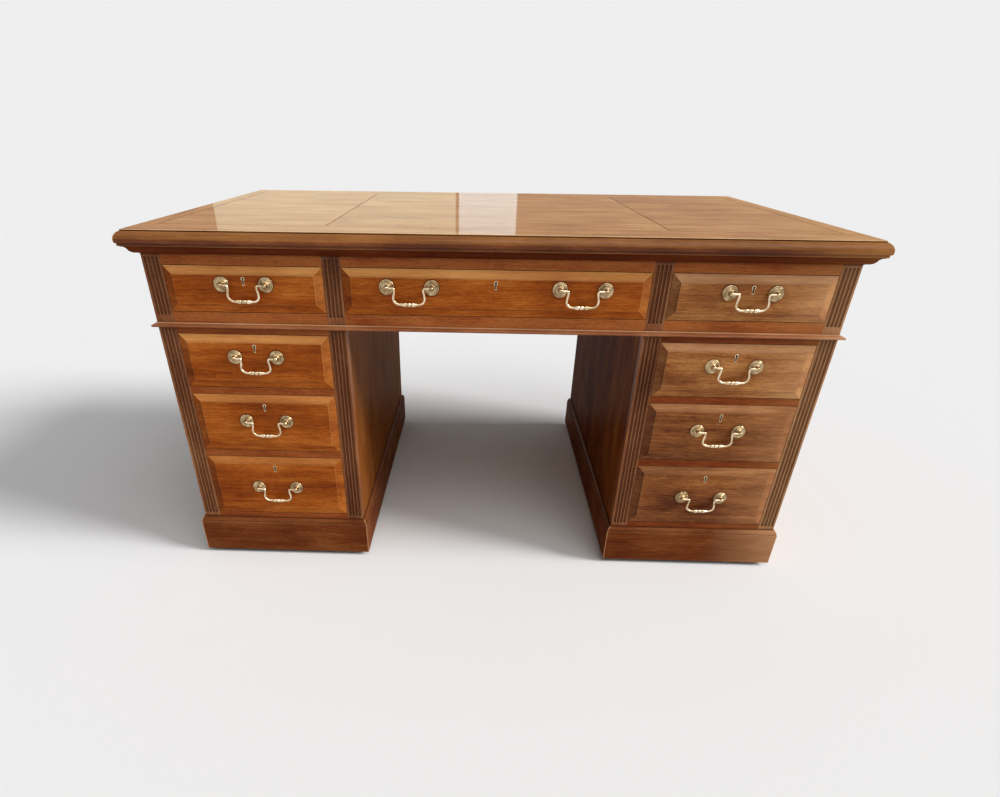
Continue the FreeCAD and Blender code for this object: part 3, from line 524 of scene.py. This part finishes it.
def top_edge_moulding(wood):
    """A quirk, a bold flattened ovolo down to a small nose, and a rounded lip under it."""
    low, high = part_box("top_edge_moulding")
    width = high.x - board_high.x
    fillet, ovolo, nose, lip, quirk = 1.6 * MM, 15.4 * MM, 3 * MM, 3.5 * MM, 1.2 * MM
    nose_high = high.z - fillet - ovolo
    nose_low = nose_high - nose
    across = width - fillet
    radius = (ovolo ** 2 + across ** 2) / (2 * across)
    profile = [(0, low.z), (width - lip, low.z), (width - lip, nose_low - lip)]
    profile += sweep_between((width - lip, nose_low - lip), (width, nose_low), lip, 6)
    profile += sweep_between((width, nose_high), (fillet, high.z - fillet), radius, 14)
    profile += [(0.7 * MM, high.z - fillet - quirk), (0, high.z - fillet - quirk)]
    joiner = Joiner("edge_moulding")
    mitred_frame(joiner, profile, board_low, board_high, wood)
    joiner.make("desk", "top_edge_moulding")


def bed_moulding(wood):
    """An ogee over a small fillet, in the corner under the top."""
    low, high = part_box("bed_moulding")
    reach = high.x - case_high.x
    fillet, round_part = 1.5 * MM, 13 * MM
    start = Vector((fillet, low.z + fillet))
    end = Vector((reach, high.z - fillet))
    # The hollow turns into the round here, where both run the same way.
    turn = start.lerp(end, 0.6277)
    turn.y = low.z + fillet + 8.02 * MM
    profile = [(0, low.z), (fillet, low.z)]
    profile += sweep_between(start, turn, round_part, 8)
    profile += sweep_between(turn, end, -10.4 * MM, 8)[1:]
    profile += [(reach, high.z), (0, high.z)]
    joiner = Joiner("ogee_bed_moulding")
    mitred_frame(joiner, profile, case_low, case_high, wood)
    joiner.make("desk", "bed_moulding")


def waist_bead(wood):
    """A half-round bead with a small hollow above it, round the foot of the upper case."""
    low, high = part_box("waist_bead")
    reach = high.x - case_high.x
    nose, hollow = 5 * MM, 4 * MM
    profile = [(0, low.z)]
    profile += arc((reach - nose / 2, low.z + nose / 2), nose / 2, -90, 90, 10)
    across = reach - nose / 2 - 0.5 * MM
    turns = [math.pi / 2 * step / 6 for step in range(7)]
    profile += [(across * (1 - math.sin(turn)), low.z + nose + hollow * (1 - math.cos(turn)))
                for turn in turns]
    joiner = Joiner("waist_moulding")
    mitred_frame(joiner, profile, case_low, case_high, wood)
    joiner.make("desk", "waist_bead")


def plinth(side, wood):
    """A plain skirting with a fillet and an ovolo along its top, mitred at the corners."""
    node = side + "_plinth"
    low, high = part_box(node)
    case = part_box(side + "_pedestal_case")
    reach = high.x - case[1].x
    relief, fillet, ovolo, ledge = 5 * MM, 1.5 * MM, 11 * MM, 12 * MM
    ledge_low, ledge_high = 42 * MM, case[0].z
    profile = [(relief, low.z), (reach - 1 * MM, low.z), (reach, low.z + 1 * MM),
               (reach, high.z - ovolo - 0.4 * MM), (reach - 0.4 * MM, high.z - ovolo),
               (reach - fillet, high.z - ovolo)]
    across = reach - 2 * fillet
    turns = [math.pi / 2 * step / 8 for step in range(9)]
    profile += [(fillet + across * math.cos(turn), high.z - ovolo + ovolo * math.sin(turn))
                for turn in turns]
    profile += [(0, high.z), (0, ledge_high), (-ledge, ledge_high), (-ledge, ledge_low),
                (relief, ledge_low)]
    joiner = Joiner(side + "_skirting")
    mitred_frame(joiner, profile, Vector((case[0].x, CASE_FRONT, 0)), case[1], wood)
    joiner.make("desk", node)


def flute_cutter(x, bottom, top, width, depth, face):
    """A round-nosed cutter as long as the flute, standing off the face so that it cuts to its depth."""
    radius = (width * width / 4 + depth * depth) / (2 * depth)
    # The ball of the cutter breaks the face half a flute's width beyond its centre.
    nose = width / 2
    profile = [(across, up + nose) for across, up in arc((0, 0), radius, -90, 0)]
    profile += [(across, up - nose) for across, up in arc((0, top - bottom), radius, 0, 90)]
    cutter = turned([(max(across, 0.001 * MM), up) for across, up in profile],
                    sides=32)
    return moved(cutter, x, face - (radius - depth), bottom)


def fluted_pilasters(node, name, wood, foot, head):
    """Stiles worked with four stopped flutes each.  foot and head are the plain lengths left below and
    above the flutes."""
    joiner = Joiner(name)
    width, depth, pitch = 6 * MM, 2.2 * MM, 8 * MM
    for number, triangles in enumerate(solids_of(node), start=1):
        low, high = extent(triangles)
        blank = box_solid(low, high)
        ease_arrises(blank, EASE)
        middle, bottom, top = (low.x + high.x) / 2, low.z + foot, high.z - head
        flutes = [flute_cutter(middle + (i - 1.5) * pitch, bottom, top, width, depth, low.y)
                  for i in range(4)]
        joiner.lay(cut_away(blank, flutes), "z", wood, cut_from=f"stile {number}")
    joiner.make("desk", node)


def case_boards(node, name, outside, inside, upright=(), tone=None):
    """The case's own boards, polished where they show and bare where they face the inside.  The boards
    numbered in upright have upright grain, and the rest have it along them."""
    joiner = Joiner(name)
    low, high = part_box(node)
    middle = (low + high) / 2
    for number, triangles in enumerate(solids_of(node)):
        near, far = extent(triangles)
        at, size = (near + far) / 2, far - near
        thin = min(range(3), key=lambda i: size[i])
        inward = 1 if middle[thin] > at[thin] else -1
        grain = "z" if number in upright else longest(triangles)
        faces = joiner.lay(board(triangles), grain, outside, tone=tone)
        for face in faces:
            if face.normal[thin] * inward > 0.9:
                face.material_index = joiner.slot_of(inside)
    joiner.make("desk", node)


def rails_and_bearers(node, name, polished, bare, tone):
    """Front rails with polished faces; runners, guides, kickers, stops and blocks are bare inside."""
    joiner = Joiner(name)
    for triangles in solids_of(node):
        shows = extent(triangles)[0].y < CASE_FRONT + 1 * MM
        joiner.lay(board(triangles), longest(triangles), polished if shows else bare, tone=tone)
    joiner.make("desk", node)


def top_boards(node, name, wood, joints, rubbed, axis=None, tones=None):
    """Boards of the top, laid level.  Their arrises are eased.  Each joint shows as a fine dark line,
    and the upright outer edge takes the same dark wood as a line of painted shade under the arris; the
    outer arris itself is pale, from wear and as a painted highlight."""
    joiner = Joiner(name)
    # How far up a face looks: 1 is level, 0 is upright.
    level, nearly_upright = 0.95, 0.2
    boards = sorted(solids_of(node), key=lambda solid: extent(solid)[0].x)
    for number, triangles in enumerate(boards):
        faces = joiner.lay(board(triangles, 0.9 * MM), axis or longest(triangles), wood, spread=0.02,
                           tone=tones[number] if tones else None)
        for face in faces:
            at = face.calc_center_median()
            outer = max(abs(at.x) - board_high.x, abs(at.y) - board_high.y) > -1 * MM
            # Painted highlight and wear: the outer arris takes the pale rubbed wood.
            if outer and nearly_upright < face.normal.z < level:
                face.material_index = joiner.slot_of(rubbed)
            # Painted shade and dark joints: upright faces take the darker wood, which on the outer edge
            # is a painted dark line under the arris.
            elif face.normal.z < level:
                face.material_index = joiner.slot_of(joints)
    joiner.make("desk", node)


# ---------------------------------------------------------------- drawers

DRAWER_GAP = 0.9 * MM
FRONT_THICKNESS, BEVEL_WIDTH, BEVEL_RISE, FIELD_STEP = 20 * MM, 17 * MM, 4 * MM, 1.6 * MM
LINING_THICKNESS = 10 * MM
TAIL_LENGTH, TAIL_PITCH = 13 * MM, 30 * MM
THREAD_WIDTH, THREAD_HEIGHT, THREAD_WALL = 8 * MM, 17.5 * MM, 1.5 * MM
KEYHOLE_DEPTH, KEYHOLE_DROP = 9 * MM, 30 * MM
RUN_OUT = 5 * MM

# Each front was cut from its own board, some paler than others.
FRONT_TONES = {
    "left_frieze_drawer": 0.0, "centre_frieze_drawer": 0.03, "right_frieze_drawer": 0.05,
    "left_top_drawer": 0.05, "left_middle_drawer": 0.0, "left_bottom_drawer": -0.02,
    "right_top_drawer": 0.05, "right_middle_drawer": -0.07, "right_bottom_drawer": -0.1,
}


def keyhole_outline(width, height):
    """(across, up) points of a keyhole about its middle: a round head on a tapering skirt."""
    head, foot = width / 2, width * 0.3
    centre = height / 2 - head
    return arc((0, centre), head, -60, 240, 16) + [(-foot, -height / 2), (foot, -height / 2)]


THREAD_OUTLINE = keyhole_outline(THREAD_WIDTH, THREAD_HEIGHT)
KEYHOLE_OUTLINE = keyhole_outline(THREAD_WIDTH - 2 * THREAD_WALL, THREAD_HEIGHT - 2 * THREAD_WALL)


def keyhole_place(drawer):
    """Middle of the keyhole on the face of the field."""
    low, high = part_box(drawer + "_front")
    return Vector(((low.x + high.x) / 2, low.y, high.z + DRAWER_GAP - KEYHOLE_DROP))


def dovetails(drawer, shoulder):
    """Outlines of the tails that tie a drawer side into its front, as (y, z) points: each is narrow at
    the shoulder and flares towards its tip, 7 mm short of the face."""
    low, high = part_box(drawer + "_box")
    count = max(2, round((high.z - low.z) / TAIL_PITCH))
    pitch = (high.z - low.z) / count
    neck, tip = pitch / 2 - 4.5 * MM, pitch / 2 - 2 * MM
    tails = []
    for number in range(count):
        middle = low.z + (number + 0.5) * pitch
        tails.append([(shoulder, middle - neck), (shoulder - TAIL_LENGTH, middle - tip),
                      (shoulder - TAIL_LENGTH, middle + tip), (shoulder, middle + neck)])
    return tails


def slab(outline, near, far):
    """An outline of (y, z) points pushed from x = near to x = far."""
    return skinned([[(x, y, z) for y, z in outline] for x in (near, far)])


def dovetail_sockets(drawer, low, high, shoulder):
    """Cutters for the sockets at both ends of a front; they run out past its end and its back."""
    behind = shoulder + RUN_OUT
    cutters = []
    for tail in dovetails(drawer, shoulder):
        outline = [(behind, tail[0][1])] + tail + [(behind, tail[3][1])]
        cutters.append(slab(outline, low.x - RUN_OUT, low.x + LINING_THICKNESS))
        cutters.append(slab(outline, high.x - LINING_THICKNESS, high.x + RUN_OUT))
    return cutters


def fielded_front(drawer, wood):
    """A solid front: bevels climb to a step round the raised field.  A keyhole is cut in the field and
    lapped dovetail sockets in the ends."""
    low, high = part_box(drawer + "_front")
    face = low.y + BEVEL_RISE + FIELD_STEP
    rings = []
    for inset, y in ((0, face + FRONT_THICKNESS), (0, face), (BEVEL_WIDTH, face - BEVEL_RISE),
                     (BEVEL_WIDTH, low.y)):
        rings.append([(low.x + inset, y, low.z + inset), (high.x - inset, y, low.z + inset),
                      (high.x - inset, y, high.z - inset), (low.x + inset, y, high.z - inset)])
    blank = skinned(rings)
    ease_arrises(blank, 0.45 * MM, steepest=math.radians(40))
    at = keyhole_place(drawer)
    keyhole = moved(prism(KEYHOLE_OUTLINE, low.y - RUN_OUT, low.y + KEYHOLE_DEPTH), at.x, 0, at.z)
    sockets = dovetail_sockets(drawer, low, high, face + FRONT_THICKNESS)
    joiner = Joiner(drawer + "_fielded_front")
    joiner.lay(cut_away(blank, [keyhole] + sockets), "x", wood, tone=FRONT_TONES[drawer])
    joiner.make(drawer, drawer + "_front", sharp=12)


def drawer_linings(drawer, oak):
    """Thin sides, dovetailed into the front, and a back round a bottom that runs from side to side."""
    joiner = Joiner(drawer + "_linings")
    for triangles in solids_of(drawer + "_box"):
        low, high = extent(triangles)
        if high.x - low.x > LINING_THICKNESS + 1 * MM:
            grain = "x" if longest(triangles) == "x" else "y"
            joiner.lay(board(triangles, 0.8 * MM), grain, oak, spread=0.08)
            continue
        outline = [(high.y, low.z), (low.y, low.z)]
        outline += [point for tail in dovetails(drawer, low.y) for point in tail]
        outline += [(low.y, high.z), (high.y, high.z)]
        side = slab(outline, low.x, high.x)
        ease_arrises(side, 0.4 * MM)
        joiner.lay(side, "y", oak, spread=0.08)
    joiner.make(drawer, drawer + "_box")


# ---------------------------------------------------------------- brass

ROSE_RADIUS = 15.75 * MM
POST_CENTRES = 93.5 * MM
STAND_OFF = 12 * MM
BALL_RADIUS = 5.1 * MM


def rose(name, drawer, at, brass):
    """A turned plate with a rolled rim and two rings, and a waisted post whose ball takes the pin of
    the bail."""
    profile = [(ROSE_RADIUS, 0)]
    profile += arc((ROSE_RADIUS - 1.6 * MM, 1.2 * MM), 1.6 * MM, -20, 118, 8)
    profile += arc((ROSE_RADIUS - 5.0 * MM, 1.9 * MM), 1.7 * MM, 22, 110, 6)
    profile += arc((ROSE_RADIUS - 8.0 * MM, 2.8 * MM), 1.4 * MM, 20, 100, 6)
    profile += arc((7.4 * MM, 6.8 * MM), 2.7 * MM, 265, 190, 8)
    profile += arc((0, STAND_OFF), BALL_RADIUS, -38, 89, 16)
    plate = turned(profile, sides=56)
    joiner = Joiner(name)
    joiner.lay(moved(laid_over(plate, "X"), *at), "x", brass)
    joiner.make(drawer, drawer + "_brass", sharp=50)


def escutcheon(drawer, brass):
    """A keyhole thread let in flush, standing a hair above the field."""
    proud = 0.6 * MM
    rims = ((THREAD_OUTLINE, 0.0), (THREAD_OUTLINE, -proud), (KEYHOLE_OUTLINE, -proud),
            (KEYHOLE_OUTLINE, 0.0))
    rings = [[(x, y, z) for x, z in outline] for outline, y in rims]
    thread = skinned(rings, ring_shaped=True)
    ease_arrises(thread, 0.2 * MM, steepest=math.radians(60))
    joiner = Joiner(drawer + "_escutcheon")
    joiner.lay(moved(thread, *keyhole_place(drawer)), "x", brass)
    joiner.make(drawer, drawer + "_brass", sharp=50)


def lock_and_screws(drawer, brass):
    """The lock let in behind the front, and the screw heads under the back of the bottom."""
    joiner = Joiner(drawer + "_lock_and_screws")
    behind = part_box(drawer + "_front")[0].y + 10 * MM
    for triangles in solids_of(drawer + "_brass"):
        if extent(triangles)[0].y > behind:
            joiner.lay(board(triangles, 0.4 * MM), "x", brass)
    joiner.make(drawer, drawer + "_brass")


def bail_line():
    """The bail's middle line from pin to pin, as (across, up) from the line of the pins."""
    # Its right half from the grip to the pin, in millimetres.  Each station is a place with the
    # handles of the curve before and after it; the first and the last have one handle.
    drop = 32.3
    stations = [
        ((0, -drop), (5, -drop)), ((18, -drop), (10, -drop), (26, -drop)),
        ((32.6, -21), (32.6, -28), (32.6, -15)), ((30.2, -4.5), (30.2, -9), (30.2, -1.6)),
        ((34, 0), (31.4, 0), (38, 0)), ((51, 0), (46, 0)),
    ]
    half = []
    for start, end in zip(stations, stations[1:]):
        controls = [Vector(place).to_3d() * MM for place in (start[0], start[-1], end[1], end[0])]
        half += [point.to_2d() for point in interpolate_bezier(*controls, 24)][:-1]
    half.append(Vector(stations[-1][0]) * MM)
    # The grip needs closer points than the wire, for its bead and swellings.
    grip = [Vector((0.4 * MM * step, -drop * MM)) for step in range(44)]
    half = grip + [point for point in half if point.x > grip[-1].x + 0.2 * MM or point.y > -20 * MM]
    return [Vector((-point.x, point.y)) for point in reversed(half[1:])] + half


def bail_thickness(across, up):
    """Radius of the bail: a bead between two grooves in the middle, a swelling each side of it, and
    plain wire beyond."""
    # Radii, and distances from the middle, in millimetres.
    wire, groove = 2.6, 3.2
    bead_end, swelling_start, swelling_end = 4.2, 5.0, 19
    x = abs(across) / MM
    if up > -32 * MM or x > swelling_end:
        return wire * MM
    if x < bead_end:
        return (groove + 1.6 * math.sqrt(1 - (x / 4.21) ** 2)) * MM
    if x < swelling_start:
        return groove * MM
    share = (x - swelling_start) / (swelling_end - swelling_start)
    swelling = 2.2 * math.sin(math.pi * share ** 0.55) + 0.6 * (1 - share)
    return (wire + swelling * (1 - share) ** 0.3) * MM


def bail(body, brass):
    """A swan-neck bail, cast in one piece, hanging between its two posts."""
    pivot = Vector(JOINT_OF[body]["pos_m"])
    line = bail_line()
    sides = 20
    turns = [2 * math.pi * side / sides for side in range(sides)]
    rings = []
    for i, point in enumerate(line):
        along = (line[min(i + 1, len(line) - 1)] - line[max(i - 1, 0)]).normalized()
        out = Vector((-along.y, 0, along.x))
        radius = bail_thickness(point.x, point.y)
        centre = pivot + Vector((point.x, 0, point.y))
        rings.append([centre + out * (radius * math.cos(turn)) + Vector((0, radius * math.sin(turn), 0))
                      for turn in turns])
    joiner = Joiner(body + "_casting")
    joiner.lay(skinned(rings), "x", brass)
    joiner.make(body, body, sharp=60)


def castor(body, brass):
    """A brass horn, a turned wheel with a crowned tread, and the pin that it turns on."""
    joiner = Joiner(body + "_casting")
    horn, tread, pin = solids_of(body)
    joiner.lay(board(horn, 0.5 * MM), "z", brass)
    low, high = extent(tread)
    radius, half = (high.z - low.z) / 2, (high.x - low.x) / 2
    side = [(2.1 * MM, half), (radius * 0.45, half), (radius * 0.55, half - 0.9 * MM),
            (radius * 0.78, half - 0.9 * MM), (radius * 0.84, half - 0.2 * MM)]
    crown = [(radius - 0.9 * MM * (step / 4) ** 2, half * 0.8 * step / 4) for step in range(-4, 5)]
    profile = [(across, -up) for across, up in side] + crown + side[::-1]
    wheel = laid_over(turned(profile, sides=40), "Y")
    joiner.lay(moved(wheel, *((low + high) / 2)), "x", brass)
    joiner.lay(board(pin, 0.3 * MM), "x", brass)
    joiner.make(body, body, sharp=45)


# ---------------------------------------------------------------- putting the desk together

# All the mahogany has the same polish.  The woods differ in how red or brown the board was, how much
# paler colour is painted in as light and how much of the film is left.

# Rails: red, straight-grained, with most of the film worn away.
rail_mahogany = french_polished_mahogany(
    "french_polished_mahogany_rails", ("#6C2C0E", "#92481E", "#AE6430"), ("#A86836", "#C28650"),
    painted_light_share=0.15, film=0.14, film_roughness=0.15)
# Case boards: wide and dark, with a thin dull film.
case_mahogany = french_polished_mahogany(
    "french_polished_mahogany_case", ("#54240C", "#784016", "#905828"), ("#884E24", "#A26834"),
    painted_light_share=0.35, film=0.05, film_roughness=0.15)
# Fluted stiles: pale reeds between flutes that are darkened far up their sides, by wax and by painted
# shade.
fluted_mahogany = french_polished_mahogany(
    "french_polished_mahogany_fluted", ("#603018", "#8A5230", "#AA744A"), ("#B08052", "#D0A070"),
    painted_light_share=0.1, film=0.2, film_roughness=0.15, wax=(0.7, 1))
# Edge of the top: dark, and kept bright by sleeves.
edge_mahogany = french_polished_mahogany(
    "french_polished_mahogany_edges", ("#461C08", "#66300E", "#8A4C22"), ("#A0642C", "#C08844"),
    painted_light_share=0.3, film=0.4, film_roughness=0.08)
# Plinths: dark, dulled by shoes and mops.
plinth_mahogany = french_polished_mahogany(
    "french_polished_mahogany_plinths", ("#481C0A", "#6E3616", "#885028"), ("#B88458", "#D8A478"),
    painted_light_share=0.1, film=0.08, film_roughness=0.15)
# Moulding under the top: the deepest red, painted darker as the shade that the top casts on it.
painted_shade_mahogany = french_polished_mahogany(
    "mahogany_painted_shade_under_the_top", ("#3E1204", "#582208", "#723610"),
    ("#6A3414", "#8A5024"), painted_light_share=0.1, film=0.1, film_roughness=0.2)
# Drawer fronts: red boards on the left and in the middle, browner ones on the right.  Their bevels are
# painted honey-pale as light where they tilt up or right, and darker as shade where they turn left.
red_mahogany = french_polished_mahogany(
    "french_polished_mahogany_red_fronts", ("#6A2804", "#9E4D10", "#C4722A"), ("#C88042", "#E8A660"),
    painted_light_share=0.8, film=0.15, film_roughness=0.12, turned_from_light=0.3)
brown_mahogany = french_polished_mahogany(
    "french_polished_mahogany_brown_fronts", ("#5C2C12", "#985C2E", "#C2884C"), ("#B87E50", "#D8A478"),
    painted_light_share=0.7, film=0.2, film_roughness=0.12, turned_from_light=0.45)
# Bead round the waist: pale, partly because it stands proud and is rubbed all along, and partly as a
# painted highlight.
bead_mahogany = french_polished_mahogany(
    "rubbed_mahogany_waist_bead", ("#662E14", "#8C4C28", "#A86A40"), ("#C88C5C", "#E8B88C"),
    painted_light_share=0.12, film=0.3, film_roughness=0.12)
# Top: paled by the sun to an even light brown, with the smoothest film.
top_mahogany = french_polished_mahogany(
    "french_polished_mahogany_top", ("#965E2C", "#B87F45", "#CE9B62"), ("#B8823E", "#C8944E"),
    painted_light_share=0.1, film=0.2, film_roughness=0.05)
# Outer arris of the top: rubbed down to pale wood and painted pale as a highlight, and shiny from
# hands.
rubbed_and_highlight_mahogany = french_polished_mahogany(
    "rubbed_and_highlight_mahogany_arris", ("#C89458", "#E0B078", "#F0C890"), ("#E8BC84", "#F8DCA8"),
    painted_light_share=0.5, film=0.6, film_roughness=0.1, wax=(0.1, 0.6))
oak = waxed_oak()
deal = sawn_deal()
# Brass: bright where it is pulled, browner on the plates, dull on the castors, which are never rubbed.
handle_brass = cast_brass("burnished_brass_bails", bright="#FAE6C6", dull="#C8AE84",
                          groove="#5A4426", shine=0.16)
rose_brass = cast_brass("tarnished_brass_roses", bright="#DCC298", dull="#8E7450",
                        groove="#34230F", shine=0.2)
thread_brass = cast_brass("filed_brass_keyhole_threads", bright="#F6E2C0", dull="#D4B88E",
                          groove="#A88C60", shine=0.25)
castor_brass = cast_brass("worn_castor_brass", bright="#B89C68", dull="#7C6540", groove="#33261A",
                          shine=0.34)

top_edge_moulding(edge_mahogany)
top_boards("top_frame", "top_border", top_mahogany, case_mahogany, rubbed_and_highlight_mahogany)
# Painted reflection: the tones make the left panel a shade lighter and the right one a shade darker.
top_boards("top_panels", "top_veneers", top_mahogany, case_mahogany, rubbed_and_highlight_mahogany, axis="x",
           tones=(0.02, 0.0, -0.02))
bed_moulding(painted_shade_mahogany)
case_boards("frieze_case", "frieze_boards", case_mahogany, deal)
# Painted light: the frieze rails are made lighter, against the shade of the top's overhang.
rails_and_bearers("frieze_rails", "frieze_rails_and_bearers", rail_mahogany, deal, tone=0.13)
fluted_pilasters("frieze_pilasters", "frieze_fluted_pilasters", fluted_mahogany, foot=24 * MM,
                 head=22.5 * MM)
waist_bead(bead_mahogany)
fluted_pilasters("pedestal_pilasters", "pedestal_fluted_pilasters", fluted_mahogany, foot=28.5 * MM,
                 head=4 * MM)
# The two sides and the back come first among a pedestal's boards, and their grain stands upright.
# Painted light and shade: the left pedestal's boards and rails are made lighter and the right's darker,
# its kneehole side standing in shade.
for side, case_light_and_shade, rail_light_and_shade in (("left", 0.08, 0.02), ("right", -0.12, -0.14)):
    pedestal = side + "_pedestal"
    case_boards(pedestal + "_case", pedestal + "_boards", case_mahogany, deal, upright=(0, 1, 2),
                tone=case_light_and_shade)
    rails_and_bearers(pedestal + "_rails", pedestal + "_rails_and_bearers", rail_mahogany, deal,
                      tone=rail_light_and_shade)
    plinth(side, plinth_mahogany)

for drawer in DRAWERS:
    fielded_front(drawer, brown_mahogany if drawer.startswith("right") else red_mahogany)
    drawer_linings(drawer, oak)
    lock_and_screws(drawer, castor_brass)
    escutcheon(drawer, thread_brass)

for body in BAILS:
    bail(body, handle_brass)
    drawer = JOINT_OF[body]["parent"]
    pivot = Vector(JOINT_OF[body]["pos_m"])
    pivot.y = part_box(drawer + "_front")[0].y
    for number, way in enumerate((-1, 1), start=1):
        at = pivot + Vector((way * POST_CENTRES / 2, 0, 0))
        rose(f"{body}_rose_{number}", drawer, at, rose_brass)

for body in CASTORS:
    castor(body, castor_brass)


# ---------------------------------------------------------------- floor, light and camera

def floor():
    """A pale painted floor that runs out of sight in every direction."""
    bm = bmesh.new()
    bmesh.ops.create_grid(bm, x_segments=1, y_segments=1, size=60)
    mesh = bpy.data.meshes.new("floor")
    bm.to_mesh(mesh)
    bm.free()
    ground = bpy.data.objects.new("floor", mesh)
    bpy.context.scene.collection.objects.link(ground)
    material, tree = new_material("pale_painted_floor")
    shader = add(tree, "BsdfPrincipled", {"Base Color": "#EEEEEE", "Roughness": 0.9,
                                          "Specular IOR Level": 0.0})
    add(tree, "OutputMaterial", {"Surface": shader})
    mesh.materials.append(material)


def lamp(name, towards, strength, spread):
    """A distant soft lamp in the given direction; spread is how wide it looks, in degrees."""
    sun = bpy.data.lights.new(name, "SUN")
    sun.energy = strength
    sun.angle = math.radians(spread)
    light = bpy.data.objects.new(name, sun)
    bpy.context.scene.collection.objects.link(light)
    light.rotation_euler = Vector(towards).to_track_quat("Z", "Y").to_euler()


def soft_box(name, left, right, glow, tint):
    """A tall soft box far behind the desk, which shows only as a pale patch in the polish of the top.
    left and right are its edges in metres, and glow is how bright it looks, where 1 is white."""
    tall, behind, height = 1.6, 3.5, 1.4
    box = bpy.data.lights.new(name, "AREA")
    box.shape = "RECTANGLE"
    box.size, box.size_y = right - left, tall
    box.energy = glow * math.pi * box.size * box.size_y
    box.color = linear(tint)[:3]
    light = bpy.data.objects.new(name, box)
    bpy.context.scene.collection.objects.link(light)
    light.location = ((left + right) / 2, behind, height)
    light.rotation_euler = Vector((0, 1, 0)).to_track_quat("Z", "Y").to_euler()
    light.visible_camera = False
    light.visible_diffuse = False


def dome():
    """A pale dome all round, seen at its own colour by the eye and by metal and polish."""
    world = bpy.data.worlds.new("dome")
    bpy.context.scene.world = world
    world.use_nodes = True
    tree = world.node_tree
    tree.nodes.clear()
    path = add(tree, "LightPath")
    seen = path.outputs["Is Camera Ray"]
    for ray in ("Is Glossy Ray", "Is Transmission Ray"):
        seen = add(tree, "Math", {0: seen, 1: path.outputs[ray]}, operation="MAXIMUM")
    light = add(tree, "Background", {"Color": "#FFFFFF", "Strength": 0.25})
    backdrop = add(tree, "Background", {"Color": "#EFEFEF", "Strength": 1})
    mix = add(tree, "MixShader", {0: seen, 1: light, 2: backdrop})
    add(tree, "OutputWorld", {"Surface": mix})


def camera():
    """A wide lens a little above the top and just left of the middle, looking down, with its frame
    shifted."""
    data = bpy.data.cameras.new("camera")
    data.sensor_width = 36
    data.lens = 22.01
    data.shift_x, data.shift_y = 0.040, 0.1175
    eye = bpy.data.objects.new("camera", data)
    bpy.context.scene.collection.objects.link(eye)
    place = Matrix.Translation((-0.0327, -1.7603, 0.9649))
    yaw = Matrix.Rotation(math.radians(1.552), 4, "Z")
    pitch = Matrix.Rotation(math.pi / 2 + math.radians(-32.388), 4, "X")
    roll = Matrix.Rotation(math.radians(0.653), 4, "Z")
    eye.matrix_world = place @ yaw @ pitch @ roll
    bpy.context.scene.camera = eye


floor()
lamp("key", towards=(0.835, -0.147, 0.53), strength=3.3, spread=22)
lamp("fill", towards=(0.30, -0.54, 0.79), strength=0.8, spread=45)
soft_box("wide_soft_box", left=-2.13, right=-0.235, glow=2.1, tint="#E8F3D8")
soft_box("narrow_soft_box", left=-0.21, right=0.235, glow=3.4, tint="#DAF0F6")
dome()
camera()
bpy.context.scene.view_settings.view_transform = "Standard"
